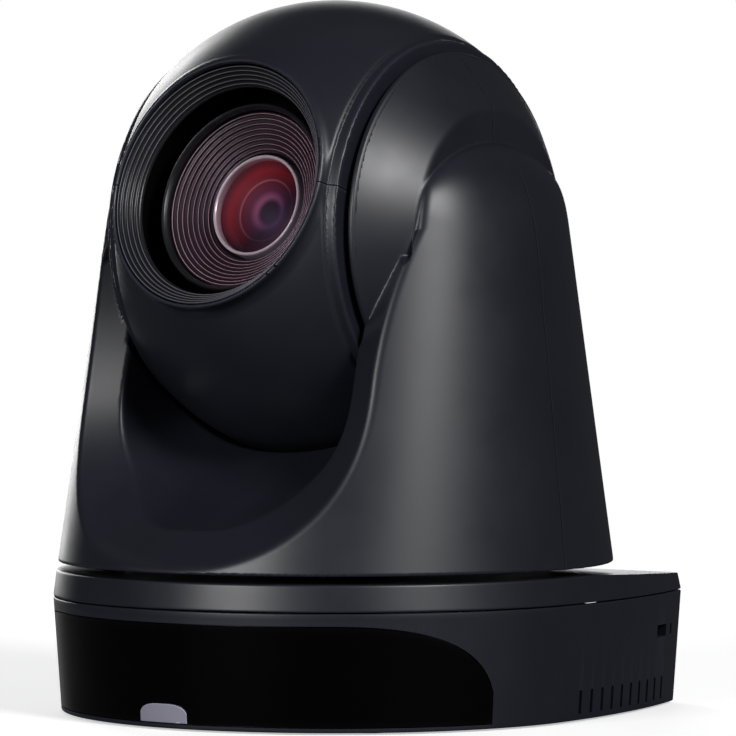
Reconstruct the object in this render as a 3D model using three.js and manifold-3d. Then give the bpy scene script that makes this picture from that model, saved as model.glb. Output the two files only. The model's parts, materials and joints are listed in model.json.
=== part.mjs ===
// A pan-tilt-zoom camera: a flared base, a yoke that pans on it, and a round head that tilts in the yoke.
// Millimetres, +Z up, the lens looks along -Y. The origin is on the pan axis, at the plane of the feet.

import * as THREE from "three";
import { mergeVertices } from "three/addons/utils/BufferGeometryUtils.js";
import Module from "manifold-3d";

const wasm = await Module();
wasm.setup();

// ---------------------------------------------------------------- driving dimensions

const GAP = 0.3; // running or seating gap between pieces that touch
const WALL = 2.4; // moulded wall
const HOLE = 2; // how far a cutting tool runs past the wall that it cuts

// base
const BASE_RADIUS = 73.6; // round front, and half the depth
const SIDE_RADIUS = 216; // slow curve of the two sides behind the round front
const CORNER_RADIUS = 7;
const BASE_BOTTOM = 0.5; // the housing's rim; the feet stand on the floor inside it
const BASE_SEAM = 30.1; // where the top ring sits on the housing
const BASE_TOP = 37;
const HOUSING_DRAFT = 0.972; // outline at the bottom over outline at the seam
const RING_DRAFT = 0.988; // outline at the top ring's upper edge over outline at the seam
const DECK_SLOPE = THREE.MathUtils.degToRad(2.6); // fall of the base's top towards the back

// yoke
const YOKE_BOTTOM = 38.9;
const YOKE_RADIUS = 72.4;
const YOKE_TAPER_X = 0.104; // loss of half-width per unit of height
const YOKE_TAPER_Y = 0.203; // loss of half-depth per unit of height
const ARM_INNER_X = 37.6; // inner face of the arms, next to the head
const LEDGE_X = 50; // flat face of the side domes, where the arm's skin starts
const DOME_RADIUS = 59.4;
const SHOULDER_RADIUS = 37.2; // arch of the arm's top on the ledge
const SHOULDER_REACH = 16.5; // how far the arch bulges outwards
const SHOULDER_DROP = 15.1; // the arch's centre lies this far below the tilt axis

// head
const HEAD_Z = 124.6; // height of the tilt axis
const HEAD_RADIUS = 60.2;
const HEAD_SIDE_X = 33.6; // edge of the round skin
const HEAD_FACE_X = 36.2; // flat side of the head
const REST_TILT = THREE.MathUtils.degToRad(17.5); // the head is stored looking up by this much
const LENS_DROP = 4; // the lens axis passes this far below the tilt axis
const COLLAR_RADIUS = 33; // lip of the head's skin round the lens opening
const COLLAR_FRONT = 51.9;
const COLLAR_HOLE = 32;
const LENS_OPENING = 27.6;
const BARREL_RADIUS = 25.1;

// drives
const PAN_PULLEY_RADIUS = 30;
const TILT_PULLEY_RADIUS = 16;
const MOTOR_PULLEY_RADIUS = 6;
const PAN_MOTOR_Y = -46;
const TILT_MOTOR_Z = 82;
const BELT_THICKNESS = 1.2;

const TURNS = 40; // sides of a large round that shows
const HIDDEN_TURNS = 20; // sides of a large round inside the housings
const SMALL_TURNS = 14; // sides of a small round

// ---------------------------------------------------------------- solids and booleans

/** Welds a geometry into one closed body with its faces pointing out. */
function weld(geometry) {
  const bare = geometry.index ? geometry.toNonIndexed() : geometry.clone();
  bare.deleteAttribute("normal");
  bare.deleteAttribute("uv");
  const welded = mergeVertices(bare, 1e-4);
  const position = welded.attributes.position;
  const corners = [new THREE.Vector3(), new THREE.Vector3(), new THREE.Vector3()];
  const kept = [];
  let volume = 0;
  for (let i = 0; i < welded.index.count; i += 3) {
    const triangle = [0, 1, 2].map((k) => welded.index.getX(i + k));
    if (new Set(triangle).size < 3) continue;
    triangle.forEach((vertex, k) => corners[k].fromBufferAttribute(position, vertex));
    volume += corners[0].dot(corners[1].clone().cross(corners[2]));
    kept.push(triangle);
  }
  const facing = volume < 0 ? kept.map(([a, b, c]) => [a, c, b]) : kept;
  welded.setIndex(facing.flat());
  return welded;
}

function toSolid(geometry) {
  const welded = weld(geometry);
  return new wasm.Manifold(
    new wasm.Mesh({
      numProp: 3,
      vertProperties: new Float32Array(welded.attributes.position.array),
      triVerts: new Uint32Array(welded.index.array),
    }),
  );
}

function toGeometry(solid) {
  const mesh = solid.getMesh();
  const geometry = new THREE.BufferGeometry();
  geometry.setAttribute("position", new THREE.BufferAttribute(new Float32Array(mesh.vertProperties), 3));
  geometry.setIndex(Array.from(mesh.triVerts));
  return geometry;
}

const join = (solids) => solids.reduce((whole, solid) => whole.add(solid));
const cut = (solid, tools) => tools.reduce((rest, tool) => rest.subtract(tool), solid);

// ---------------------------------------------------------------- plain shapes

/** A box given by its low and high corners. */
function box(low, high) {
  const size = high.map((value, axis) => value - low[axis]);
  const centre = high.map((value, axis) => (value + low[axis]) / 2);
  return new THREE.BoxGeometry(...size).translate(...centre);
}

/** A solid turned about +Z from [radius, height] points. */
function turned(points, turns = TURNS) {
  const profile = points.map(([radius, height]) => new THREE.Vector2(radius, height));
  return new THREE.LatheGeometry(profile, turns).rotateX(Math.PI / 2);
}

/** A ring about +Z; an inner radius of 0 gives a disc. */
function ring(outer, inner, low, high, turns = TURNS) {
  if (inner === 0) return turned([[0, low], [outer, low], [outer, high], [0, high]], turns);
  return turned([[inner, low], [outer, low], [outer, high], [inner, high], [inner, low]], turns);
}

/** Turns a shape made about +Z so that it lies about +X. */
const alongX = (geometry) => geometry.rotateY(Math.PI / 2);

/** Turns a shape made about +Z so that it points forwards, along -Y. */
const alongFront = (geometry) => geometry.rotateX(Math.PI / 2);

const ARC_STEPS = 9; // steps of a half turn in a flat outline

/** A flat outline in XY, pushed up from one height to another. */
function slab(shape, low, high) {
  const options = { depth: high - low, bevelEnabled: false, curveSegments: ARC_STEPS };
  return new THREE.ExtrudeGeometry(shape, options).translate(0, 0, low);
}

/** Moves every vertex of a geometry by a rule. */
function reshape(geometry, rule) {
  const position = geometry.attributes.position;
  const point = new THREE.Vector3();
  for (let i = 0; i < position.count; i += 1) {
    rule(point.fromBufferAttribute(position, i));
    position.setXYZ(i, point.x, point.y, point.z);
  }
  return geometry;
}

/** A solid through closed rings of points, with flat-mapped caps in XZ. */
function loft(rings) {
  const count = rings[0].length;
  const flat = rings[0].map((point) => new THREE.Vector2(point.x, point.z));
  const way = Math.sign(THREE.ShapeUtils.area(flat));
  const cap = THREE.ShapeUtils.triangulateShape(flat, []).map(([a, b, c]) => {
    const sameWay = THREE.ShapeUtils.area([flat[a], flat[b], flat[c]]) * way > 0;
    return sameWay ? [a, b, c] : [a, c, b];
  });
  const last = (rings.length - 1) * count;
  const index = [];
  for (let layer = 0; layer < rings.length - 1; layer += 1) {
    for (let k = 0; k < count; k += 1) {
      const a = layer * count + k;
      const b = layer * count + ((k + 1) % count);
      index.push(a, b, a + count, b, b + count, a + count);
    }
  }
  cap.forEach(([a, b, c]) => index.push(a, c, b, last + a, last + b, last + c));
  const geometry = new THREE.BufferGeometry().setFromPoints(rings.flat());
  geometry.setIndex(index);
  return geometry;
}

/** The part of space on one side of a plane across an axis, as a large box. */
function halfSpace(axis, side, at) {
  const REACH = 400;
  const low = [-REACH, -REACH, -REACH];
  const high = [REACH, REACH, REACH];
  if (side > 0) low[axis] = at;
  else high[axis] = at;
  return toSolid(box(low, high));
}

// ---------------------------------------------------------------- scene

const materials = {
  shell: { color: 0x2a2b31, roughness: 0.48, metalness: 0.0 },
  gloss: { color: 0x07070a, roughness: 0.08, metalness: 0.0 },
  lamp: { color: 0xa3a2ad, roughness: 0.35, metalness: 0.0 },
  darkTrim: { color: 0x15151a, roughness: 0.55, metalness: 0.0 },
  steel: { color: 0x9a9ca0, roughness: 0.35, metalness: 0.9 },
  silver: { color: 0xd8d8dc, roughness: 0.2, metalness: 0.9 },
  brass: { color: 0xb08d4a, roughness: 0.35, metalness: 0.9 },
  rubber: { color: 0x17171a, roughness: 0.9, metalness: 0.0 },
  board: { color: 0x1c5a3a, roughness: 0.6, metalness: 0.0 },
  glass: { color: 0x5a3c5c, roughness: 0.05, metalness: 0.0 },
};
for (const key of Object.keys(materials)) materials[key] = new THREE.MeshStandardMaterial(materials[key]);

const camera = new THREE.Group();
const yoke = new THREE.Group();
const head = new THREE.Group();
head.position.z = HEAD_Z;
head.rotation.x = -REST_TILT;
yoke.add(head);
camera.add(yoke);

function add(group, name, geometry, material, place = [0, 0, 0]) {
  const mesh = new THREE.Mesh(weld(geometry), materials[material]);
  mesh.name = name;
  mesh.position.set(...place);
  group.add(mesh);
}

// ---------------------------------------------------------------- base

/** The base seen from above: a round front, slow side curves and a flat back. */
function basePlan(inset) {
  const radius = BASE_RADIUS - inset;
  const side = SIDE_RADIUS - inset;
  const corner = Math.max(CORNER_RADIUS - inset, 1);
  const sideCentre = radius - side;
  const cornerY = radius - corner;
  const cornerX = sideCentre + Math.sqrt((side - corner) ** 2 - cornerY ** 2);
  const lean = Math.atan2(cornerY, cornerX - sideCentre);
  const plan = new THREE.Shape();
  plan.absarc(0, 0, radius, Math.PI, 2 * Math.PI);
  plan.absarc(sideCentre, 0, side, 0, lean);
  plan.absarc(cornerX, cornerY, corner, lean, Math.PI / 2);
  plan.absarc(-cornerX, cornerY, corner, Math.PI / 2, Math.PI - lean);
  plan.absarc(-sideCentre, 0, side, Math.PI - lean, Math.PI);
  return plan;
}

/** A slab of the base's plan whose outline is scaled from one height to the other. */
function basePrism(inset, low, high, lowScale, highScale) {
  const spread = (point) => {
    const scale = THREE.MathUtils.mapLinear(point.z, low, high, lowScale, highScale);
    point.x *= scale;
    point.y *= scale;
  };
  return reshape(slab(new THREE.Shape(planPoints(basePlan(inset))), low, high), spread);
}

/** Points round a plan: fine steps on the round front, fewer on the other arcs. */
function planPoints(plan) {
  const FRONT_STEPS = 28;
  const OTHER_STEPS = [4, 4, 4, 4];
  const steps = [FRONT_STEPS, ...OTHER_STEPS];
  const arcs = plan.curves.filter((curve) => curve.isEllipseCurve);
  return arcs.flatMap((arc, k) => arc.getPoints(steps[k]).slice(k === 0 ? 0 : 1));
}

/** A panel that follows the round front of the base: half-width by height, rounded at the top. */
function wrappedPanel(halfArc, inner, outer, bottom, heightAt, steps) {
  const geometry = new THREE.BoxGeometry(2, 1, 1, steps, 1, 1);
  return reshape(geometry, (point) => {
    const along = point.x;
    const arc = along * halfArc;
    const angle = arc / BASE_RADIUS;
    const top = bottom + heightAt(arc);
    const height = point.z < 0 ? bottom : top;
    const draft = THREE.MathUtils.mapLinear(height, BASE_BOTTOM, BASE_SEAM, HOUSING_DRAFT, 1);
    const radius = point.y < 0 ? outer * draft : inner * draft;
    point.set(radius * Math.sin(angle), -radius * Math.cos(angle), height);
  });
}

const WINDOW_BOTTOM = 1.9;
const WINDOW_HEIGHT = 24.7;
const WINDOW_HALF_ARC = 89.4; // arc length from the middle to either end
const WINDOW_FLAT_ARC = 44; // level part of the top edge
const WINDOW_THICKNESS = 1.2;
const LAMP_HALF_ARC = 7.6;
const LAMP_HEIGHT = 4.7;

/** Height of the window's top edge above its bottom edge: level, then an elliptical corner. */
function windowHeight(arc, grow = 0) {
  const past = Math.max(Math.abs(arc) - WINDOW_FLAT_ARC, 0);
  const share = past / (WINDOW_HALF_ARC + grow + 0.8 - WINDOW_FLAT_ARC);
  const CORNER_POWER = 2.6;
  return WINDOW_HEIGHT * (1 - share ** CORNER_POWER) ** (1 / CORNER_POWER) + grow;
}

/** Height of the status lamp's arched top above the window's bottom edge. */
function lampHeight(arc, grow = 0) {
  const share = Math.min(Math.abs(arc) / (LAMP_HALF_ARC + grow + 0.3), 1);
  const ARCH_POWER = 3.2;
  return (LAMP_HEIGHT + grow) * (1 - share ** ARCH_POWER) ** (1 / ARCH_POWER) + grow;
}

const WINDOW_STEPS = 24;
const LAMP_STEPS = 8;
const LAMP_TOOL_REACH = 3;

function buildWindow() {
  const inner = BASE_RADIUS - WINDOW_THICKNESS;
  const outer = BASE_RADIUS;
  const panel = wrappedPanel(WINDOW_HALF_ARC, inner, outer, WINDOW_BOTTOM, windowHeight, WINDOW_STEPS);
  const notchHeight = (arc) => lampHeight(arc, GAP);
  const notch = wrappedPanel(
    LAMP_HALF_ARC + GAP,
    inner - LAMP_TOOL_REACH,
    BASE_RADIUS + LAMP_TOOL_REACH,
    WINDOW_BOTTOM - GAP,
    notchHeight,
    LAMP_STEPS,
  );
  add(camera, "front_window", toGeometry(cut(toSolid(panel), [toSolid(notch)])), "gloss");
  const lamp = wrappedPanel(LAMP_HALF_ARC, inner, outer, WINDOW_BOTTOM, lampHeight, LAMP_STEPS);
  add(camera, "status_lamp", lamp, "lamp");
}

const VENT_COUNT = 10;
const VENT_FIRST_Y = 7;
const VENT_PITCH = 5.45;
const VENT_WIDTH = 1.3;
const VENT_TOP = 8.2;
const LOCK_SLOT = { low: [50, 51, 18.6], high: [80, 58, 21.8] };
const RESET_SLOT = { low: [50, 61.2, 18.8], high: [80, 62.6, 21.6] };

/** The row of upright slots at the foot of each side. */
function ventTools() {
  const tools = [];
  for (const side of [-1, 1]) {
    for (let k = 0; k < VENT_COUNT; k += 1) {
      const y = VENT_FIRST_Y + k * VENT_PITCH;
      const reach = side > 0 ? [48, 90] : [-90, -48];
      tools.push(toSolid(box([reach[0], y, 0], [reach[1], y + VENT_WIDTH, VENT_TOP])));
    }
  }
  return tools;
}

const RECEIVER_Z = 17; // height of the remote control's eye behind the window
const PANEL_HALF_WIDTH = 47;
const PANEL_LOW = 4.5;
const PANEL_HIGH = 25.5;
const PANEL_Y = BASE_RADIUS - 4.2; // outer face of the connector panel

function buildHousing() {
  const outer = toSolid(basePrism(0, BASE_BOTTOM, BASE_SEAM - GAP / 2, HOUSING_DRAFT, 1));
  const hollow = toSolid(basePrism(WALL, BASE_BOTTOM - HOLE, BASE_SEAM + HOLE, HOUSING_DRAFT, 1));
  const pocketHeight = (arc) => windowHeight(arc, GAP) + GAP;
  const pocket = toSolid(
    wrappedPanel(
      WINDOW_HALF_ARC + GAP,
      BASE_RADIUS - WINDOW_THICKNESS - GAP,
      BASE_RADIUS + HOLE,
      WINDOW_BOTTOM - GAP,
      pocketHeight,
      WINDOW_STEPS,
    ),
  );
  const doorway = toSolid(
    box([-PANEL_HALF_WIDTH, BASE_RADIUS - 15, PANEL_LOW], [PANEL_HALF_WIDTH, BASE_RADIUS + 10, PANEL_HIGH]),
  );
  const receiverHole = toSolid(alongFront(ring(5, 0, 50, 90, SMALL_TURNS))).translate([0, 0, RECEIVER_Z]);
  const slots = [LOCK_SLOT, RESET_SLOT].map(({ low, high }) => toSolid(box(low, high)));
  const housing = cut(outer, [hollow, pocket, doorway, receiverHole, ...slots, ...ventTools()]);
  add(camera, "base_housing", toGeometry(housing), "shell");
}

function buildTopRing() {
  const EDGE = 1; // rounded upper edge
  const EDGE_SCALE = 0.974;
  const HATCH_RADIUS = 40;
  const LIP = 3.2; // the ring reaches down over the deck by this much less than the wall
  const low = BASE_SEAM + GAP / 2;
  const skirt = toSolid(basePrism(0, low, BASE_TOP - EDGE, 1, RING_DRAFT));
  const edge = toSolid(basePrism(0, BASE_TOP - EDGE, BASE_TOP, RING_DRAFT, EDGE_SCALE));
  const hollow = toSolid(basePrism(LIP, low - HOLE, BASE_TOP - WALL - 0.6, 1, RING_DRAFT));
  const hatch = toSolid(ring(HATCH_RADIUS, 0, 0, BASE_TOP + HOLE, HIDDEN_TURNS));
  const SLOPE_START = 15;
  const slope = toSolid(box([-90, 0, 0], [90, 90, 20]))
    .rotate([-THREE.MathUtils.radToDeg(DECK_SLOPE), 0, 0])
    .translate([0, SLOPE_START, BASE_TOP]);
  add(camera, "base_top_ring", toGeometry(cut(join([skirt, edge]), [hollow, hatch, slope])), "shell");
}

const PLATE_INSET = 5;
const PLATE_LOW = 2;
const PLATE_TOP = 3.6;
const INSERT_RADIUS = 6.5;
const INSERT_LOW = 1.2;
const INSERT_TOP = 9.5;
const DECK_LOW = 20.5;
const DECK_HIGH = 22.5;
const POST_PLACES = [[-50, -18], [50, -18], [-42, 38], [42, 38]];
const FOOT_PLACES = [[-42, -42], [42, -42], [-46, 54], [46, 54]];

function buildFloor() {
  const POST_RADIUS = 4;
  const posts = POST_PLACES.map(([x, y]) =>
    toSolid(ring(POST_RADIUS, 0, PLATE_TOP - 1, DECK_LOW - GAP, SMALL_TURNS)).translate([x, y, 0]),
  );
  const plate = toSolid(basePrism(PLATE_INSET, PLATE_LOW, PLATE_TOP, 1, 1));
  const insertHole = toSolid(ring(INSERT_RADIUS + GAP, 0, 0, PLATE_TOP + HOLE, SMALL_TURNS));
  add(camera, "base_plate", toGeometry(cut(join([plate, ...posts]), [insertHole])), "steel");

  const THREAD_RADIUS = 3.2; // clears a quarter-inch tripod screw
  const insert = ring(INSERT_RADIUS, THREAD_RADIUS, INSERT_LOW, INSERT_TOP, SMALL_TURNS);
  add(camera, "tripod_insert", insert, "brass");

  const FOOT = { radius: 7.5, top: PLATE_LOW - 0.1 };
  FOOT_PLACES.forEach(([x, y], k) => {
    add(camera, `foot_${k + 1}`, ring(FOOT.radius, 0, 0, FOOT.top, SMALL_TURNS), "rubber", [x, y, 0]);
  });
}

const SPINDLE_RADIUS = 12;
const BEARING_RADIUS = 18;
const BEARING_LOW = 13.5;

/** The deck that carries the pan bearing and the pan motor. */
function buildDeck() {
  const DECK_RADIUS = 62;
  const BOSS_WALL = 3;
  const plate = toSolid(ring(DECK_RADIUS, BEARING_RADIUS + GAP, DECK_LOW, DECK_HIGH, HIDDEN_TURNS));
  const boss = toSolid(
    ring(BEARING_RADIUS + BOSS_WALL, BEARING_RADIUS + GAP, BEARING_LOW, DECK_HIGH, HIDDEN_TURNS),
  );
  const shaftHole = toSolid(ring(8, 0, 0, 40, SMALL_TURNS)).translate([0, PAN_MOTOR_Y, 0]);
  add(camera, "base_deck", toGeometry(cut(join([plate, boss]), [shaftHole])), "steel");
  const bearing = ring(BEARING_RADIUS, SPINDLE_RADIUS + GAP, BEARING_LOW, DECK_HIGH, HIDDEN_TURNS);
  add(camera, "pan_bearing", bearing, "steel");
}

const PAN_BELT_LOW = 26;
const BELT_WIDTH = 5;
const MOTOR_RADIUS = 17;
const SHAFT_RADIUS = 2.5;

/** A flanged belt pulley about +Z, with its belt groove from 0 to the belt's width. */
function pulley(radius, bore, turns) {
  const FLANGE = 1.8;
  const RIM = 1;
  const low = -GAP;
  const high = BELT_WIDTH + GAP;
  const rim = radius + FLANGE;
  const profile = [
    [bore, low - RIM], [rim, low - RIM], [rim, low], [radius, low],
    [radius, high], [rim, high], [rim, high + RIM], [bore, high + RIM], [bore, low - RIM],
  ];
  return turned(profile, turns);
}

/** Outline of a belt's inner face round two pulleys on the line from (0, 0) to (0, reach). */
function beltOutline(large, small, reach) {
  const lean = Math.asin((large - small) / Math.abs(reach));
  const way = Math.sign(reach);
  const outline = new THREE.Shape();
  const path = way > 0 ? [Math.PI - lean, 2 * Math.PI + lean] : [-lean, Math.PI + lean];
  outline.absarc(0, 0, large, path[0], path[1]);
  outline.absarc(0, reach, small, path[1], path[0] + 2 * Math.PI);
  return outline;
}

/** A closed belt loop of the belt's width about +Z. */
function belt(large, small, reach) {
  const outer = beltOutline(large + GAP + BELT_THICKNESS, small + GAP + BELT_THICKNESS, reach);
  outer.holes.push(beltOutline(large + GAP, small + GAP, reach));
  return slab(outer, 0, BELT_WIDTH);
}

/** A motor's can about +Z with its foot at 0, open at the collar for its shaft. */
function motorCan(radius, length) {
  const COLLAR = { radius: 5.5, height: 1.4 };
  const CAP = 3;
  const bore = SHAFT_RADIUS + GAP;
  const profile = [
    [0, 0], [radius - 1, 0], [radius, 1], [radius, length - 1], [radius - 1, length],
    [COLLAR.radius, length], [COLLAR.radius, length + COLLAR.height],
    [bore, length + COLLAR.height], [bore, CAP], [0, CAP],
  ];
  return turned(profile, SMALL_TURNS);
}

/** A motor's pulley about +Z, one piece with the shaft that hangs below it. */
function drivePulley(shaftLength) {
  const rimmed = pulley(MOTOR_PULLEY_RADIUS, SHAFT_RADIUS, SMALL_TURNS);
  const shaft = ring(SHAFT_RADIUS + GAP / 2, 0, -shaftLength, BELT_WIDTH + 1, SMALL_TURNS);
  return toGeometry(toSolid(rimmed).add(toSolid(shaft)));
}

function buildPanDrive() {
  const MOTOR_LOW = 4;
  const motorLength = DECK_LOW - GAP - MOTOR_LOW;
  const shaftLength = PAN_BELT_LOW - MOTOR_LOW - 4;
  add(camera, "pan_motor", motorCan(MOTOR_RADIUS, motorLength), "steel", [0, PAN_MOTOR_Y, MOTOR_LOW]);
  add(camera, "pan_motor_pulley", drivePulley(shaftLength), "brass", [0, PAN_MOTOR_Y, PAN_BELT_LOW]);
  const loop = belt(PAN_PULLEY_RADIUS, MOTOR_PULLEY_RADIUS, PAN_MOTOR_Y);
  add(camera, "pan_belt", loop, "rubber", [0, 0, PAN_BELT_LOW]);
  const driven = pulley(PAN_PULLEY_RADIUS, SPINDLE_RADIUS + GAP, HIDDEN_TURNS);
  add(yoke, "pan_pulley", driven, "darkTrim", [0, 0, PAN_BELT_LOW]);
}

// ---------------------------------------------------------------- connectors and boards in the base

const BOARD_TOP = 7.2;
const SOCKET_WALL = 0.8;

/** A connector body with a rectangular socket open to the back. */
function socket(x, z, width, height, depth) {
  const back = PANEL_Y - 2;
  const low = [x - width / 2 - SOCKET_WALL, back - depth, z - height / 2 - SOCKET_WALL];
  const high = [x + width / 2 + SOCKET_WALL, back + 1.6, z + height / 2 + SOCKET_WALL];
  const END_WALL = 2;
  const hollowLow = [x - width / 2, low[1] + END_WALL, z - height / 2];
  const hollowHigh = [x + width / 2, high[1] + HOLE, z + height / 2];
  return cut(toSolid(box(low, high)), [toSolid(box(hollowLow, hollowHigh))]);
}

/** A round connector: a barrel about +Y with a round socket open to the back. */
function roundSocket(outer, inner, length, depth) {
  const floor = length - depth;
  const profile = [[0, 0], [outer, 0], [outer, length], [inner, length], [inner, floor], [0, floor]];
  return turned(profile, SMALL_TURNS).rotateX(-Math.PI / 2);
}

const SOCKETS = {
  lan_jack: { x: 10, z: 14.4, width: 11.8, height: 8.4, depth: 15 },
  hdmi_port: { x: -8, z: 11.4, width: 14, height: 4.6, depth: 10 },
  usb_port: { x: 27.5, z: 13, width: 8.4, height: 7.8, depth: 12 },
};
const ROUND_SOCKETS = {
  dc_jack: { x: 39.5, z: 13, outer: 4.6, inner: 2.9, length: 12, depth: 9 },
  serial_port: { x: -25, z: 14.2, outer: 5.6, inner: 4.5, length: 12, depth: 6 },
  audio_jack: { x: -38, z: 12.4, outer: 3.6, inner: 1.8, length: 13, depth: 9 },
};

function buildConnectors() {
  const PANEL_THICKNESS = 1.6;
  const FIT = 0.4; // the panel's cut-outs clear each connector by this much
  const panelLow = [-PANEL_HALF_WIDTH + GAP, PANEL_Y - PANEL_THICKNESS, PANEL_LOW + GAP];
  const panel = toSolid(box(panelLow, [PANEL_HALF_WIDTH - GAP, PANEL_Y, PANEL_HIGH - GAP]));
  const openings = [];
  for (const [name, { x, z, width, height, depth }] of Object.entries(SOCKETS)) {
    add(camera, name, toGeometry(socket(x, z, width, height, depth)), "steel");
    const half = [width / 2 + SOCKET_WALL + FIT, height / 2 + SOCKET_WALL + FIT];
    openings.push(toSolid(box([x - half[0], 50, z - half[1]], [x + half[0], 90, z + half[1]])));
  }
  for (const [name, { x, z, outer, inner, length, depth }] of Object.entries(ROUND_SOCKETS)) {
    const place = [x, PANEL_Y - length - 0.2, z];
    add(camera, name, roundSocket(outer, inner, length, depth), "darkTrim", place);
    const tool = toSolid(ring(outer + FIT, 0, 50, 90, SMALL_TURNS)).rotate([-90, 0, 0]);
    openings.push(tool.translate([x, 0, z]));
  }
  add(camera, "rear_panel", toGeometry(cut(panel, openings)), "darkTrim");
}

function buildBaseBoards() {
  const BOARD = { halfWidth: 46, front: 26, thickness: 1.6 };
  const boardLow = [-BOARD.halfWidth, BOARD.front, BOARD_TOP - BOARD.thickness];
  const board = toSolid(box(boardLow, [BOARD.halfWidth, PANEL_Y - 5, BOARD_TOP]));
  const POST_CLEARANCE = 5;
  const holes = POST_PLACES.filter(([, y]) => y > 0).map(([x, y]) =>
    toSolid(ring(POST_CLEARANCE, 0, 0, 20, SMALL_TURNS)).translate([x, y, 0]),
  );
  add(camera, "main_board", toGeometry(cut(board, holes)), "board");
  const RECEIVER = { radius: 3.4, length: 4, bulge: 1.4 };
  const receiver = [
    [0, 0], [RECEIVER.radius, 0], [RECEIVER.radius, RECEIVER.length - 1],
    [RECEIVER.radius - RECEIVER.bulge, RECEIVER.length], [0, RECEIVER.length],
  ];
  const receiverPlace = [0, -BASE_RADIUS + 7.8, RECEIVER_Z];
  add(camera, "remote_receiver", alongFront(turned(receiver, SMALL_TURNS)), "gloss", receiverPlace);
}

// ---------------------------------------------------------------- yoke

const yokeHalfWidth = (z) => YOKE_RADIUS - YOKE_TAPER_X * (z - YOKE_BOTTOM);
const yokeHalfDepth = (z) => YOKE_RADIUS - YOKE_TAPER_Y * (z - YOKE_BOTTOM);
const CONE_TOP = 118; // the skin between the arms ends here, inside the side domes
const ARM_TOP = 152;

/** Sides of a round: a form inset by a wall is a hollow, and may be coarser. */
const sidesFor = (inset) => (inset > 0 ? HIDDEN_TURNS : TURNS);

/** The yoke's tapered body: round at the bottom, wider than deep at the top. */
function yokeCone(inset, low, high) {
  const geometry = new THREE.CylinderGeometry(1, 1, high - low, sidesFor(inset), 1).rotateX(Math.PI / 2);
  geometry.translate(0, 0, (low + high) / 2);
  return toSolid(
    reshape(geometry, (point) => {
      point.x *= yokeHalfWidth(point.z) - inset;
      point.y *= yokeHalfDepth(point.z) - inset;
    }),
  );
}

/** The rounded top of both arms, turned about an axis across the yoke. */
function shoulders(inset) {
  const STEPS = 6;
  const POWER = 1.6;
  const radius = SHOULDER_RADIUS - inset;
  const reach = SHOULDER_REACH - inset;
  const points = [[0, -LEDGE_X - reach]];
  for (let k = 1; k < STEPS; k += 1) {
    const share = Math.sin((k / STEPS) * (Math.PI / 2));
    points.push([radius * (1 - (1 - share) ** POWER) ** (1 / POWER), -LEDGE_X - reach * (1 - share)]);
  }
  points.push([radius, -LEDGE_X]);
  const mirrored = points.map(([r, x]) => [r, -x]).reverse();
  const centreZ = HEAD_Z - SHOULDER_DROP;
  const dome = alongX(turned([...points, ...mirrored], sidesFor(inset))).translate(0, 0, centreZ);
  const below = box([-90, -90, 0], [90, 90, centreZ]);
  return toSolid(dome).add(toSolid(below));
}

const CUT = {
  front: { halfWidth: 46, drop: 45.7 },
  rear: { halfWidth: 44, drop: 30 },
};
const CUT_CENTRE = 86; // height where the cut's round floor starts
const BAND_WIDTH = 9.3; // bevelled band round the cut
const BAND_DEPTH = 9;

/** Half-open outline of the cut seen from the front: a round floor and upright sides. */
function cutOutline(halfWidth, drop, topHalfWidth) {
  const STEPS = 16;
  const POWER = 2.6;
  const points = [];
  for (let k = 0; k <= STEPS; k += 1) {
    const turn = (k / STEPS) * Math.PI;
    const x = halfWidth * Math.sign(Math.cos(turn)) * Math.abs(Math.cos(turn)) ** (2 / POWER);
    points.push([x, CUT_CENTRE - drop * Math.sin(turn) ** (2 / POWER)]);
  }
  points.push([-topHalfWidth, CONE_TOP], [-topHalfWidth, ARM_TOP]);
  points.push([topHalfWidth, ARM_TOP], [topHalfWidth, CONE_TOP]);
  return points;
}

/** The tool that opens the yoke in front of (or behind) the head: a bevelled band, then a sloping floor. */
function cutTool({ halfWidth, drop }, grow) {
  const OUTSIDE_Y = -95;
  const DEEP_Y = -12;
  const DEEP_FLOOR = 75.5; // the bowl's floor rises to this height under the head
  const LEAN = 3.4; // the sides of the cut spread by this much up to the ledge
  const OVERRUN = 0.6; // the band's slope is carried on past the skin by this share of its width
  const skin = (inset) => ([x, z]) => {
    const share = Math.min(Math.abs(x) / (yokeHalfWidth(z) - inset), 0.98);
    return new THREE.Vector3(x, -(yokeHalfDepth(z) - inset) * Math.sqrt(1 - share ** 2), z);
  };
  const outer = cutOutline(halfWidth + grow, drop + grow, halfWidth + LEAN + grow);
  const innerHalf = halfWidth - BAND_WIDTH + grow;
  const inner = cutOutline(innerHalf, drop - BAND_WIDTH + grow, innerHalf);
  const deepHalf = ARM_INNER_X + grow;
  const deep = cutOutline(deepHalf, CUT_CENTRE - DEEP_FLOOR + grow, deepHalf);
  const bandStart = outer.map(skin(grow));
  const bandEnd = inner.map(skin(BAND_DEPTH + grow));
  const bandPast = bandStart.map((point, k) => point.clone().lerp(bandEnd[k], -OVERRUN));
  return toSolid(
    loft([
      bandPast.map((point) => new THREE.Vector3(point.x, OUTSIDE_Y, point.z)),
      bandPast,
      bandEnd,
      deep.map(([x, z]) => new THREE.Vector3(x, DEEP_Y, z)),
    ]),
  );
}

/** A sphere about the tilt centre, kept between two distances to either side. */
function domeSlices(radius, inner, outer, turns = TURNS) {
  const sphere = toSolid(new THREE.SphereGeometry(radius, turns, turns / 2).rotateZ(Math.PI / 2));
  const slices = [-1, 1].map((side) => {
    const span = [side * inner, side * outer].sort((a, b) => a - b);
    return sphere.intersect(toSolid(box([span[0], -90, -90], [span[1], 90, 90])));
  });
  return join(slices).translate([0, 0, HEAD_Z]);
}

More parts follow.
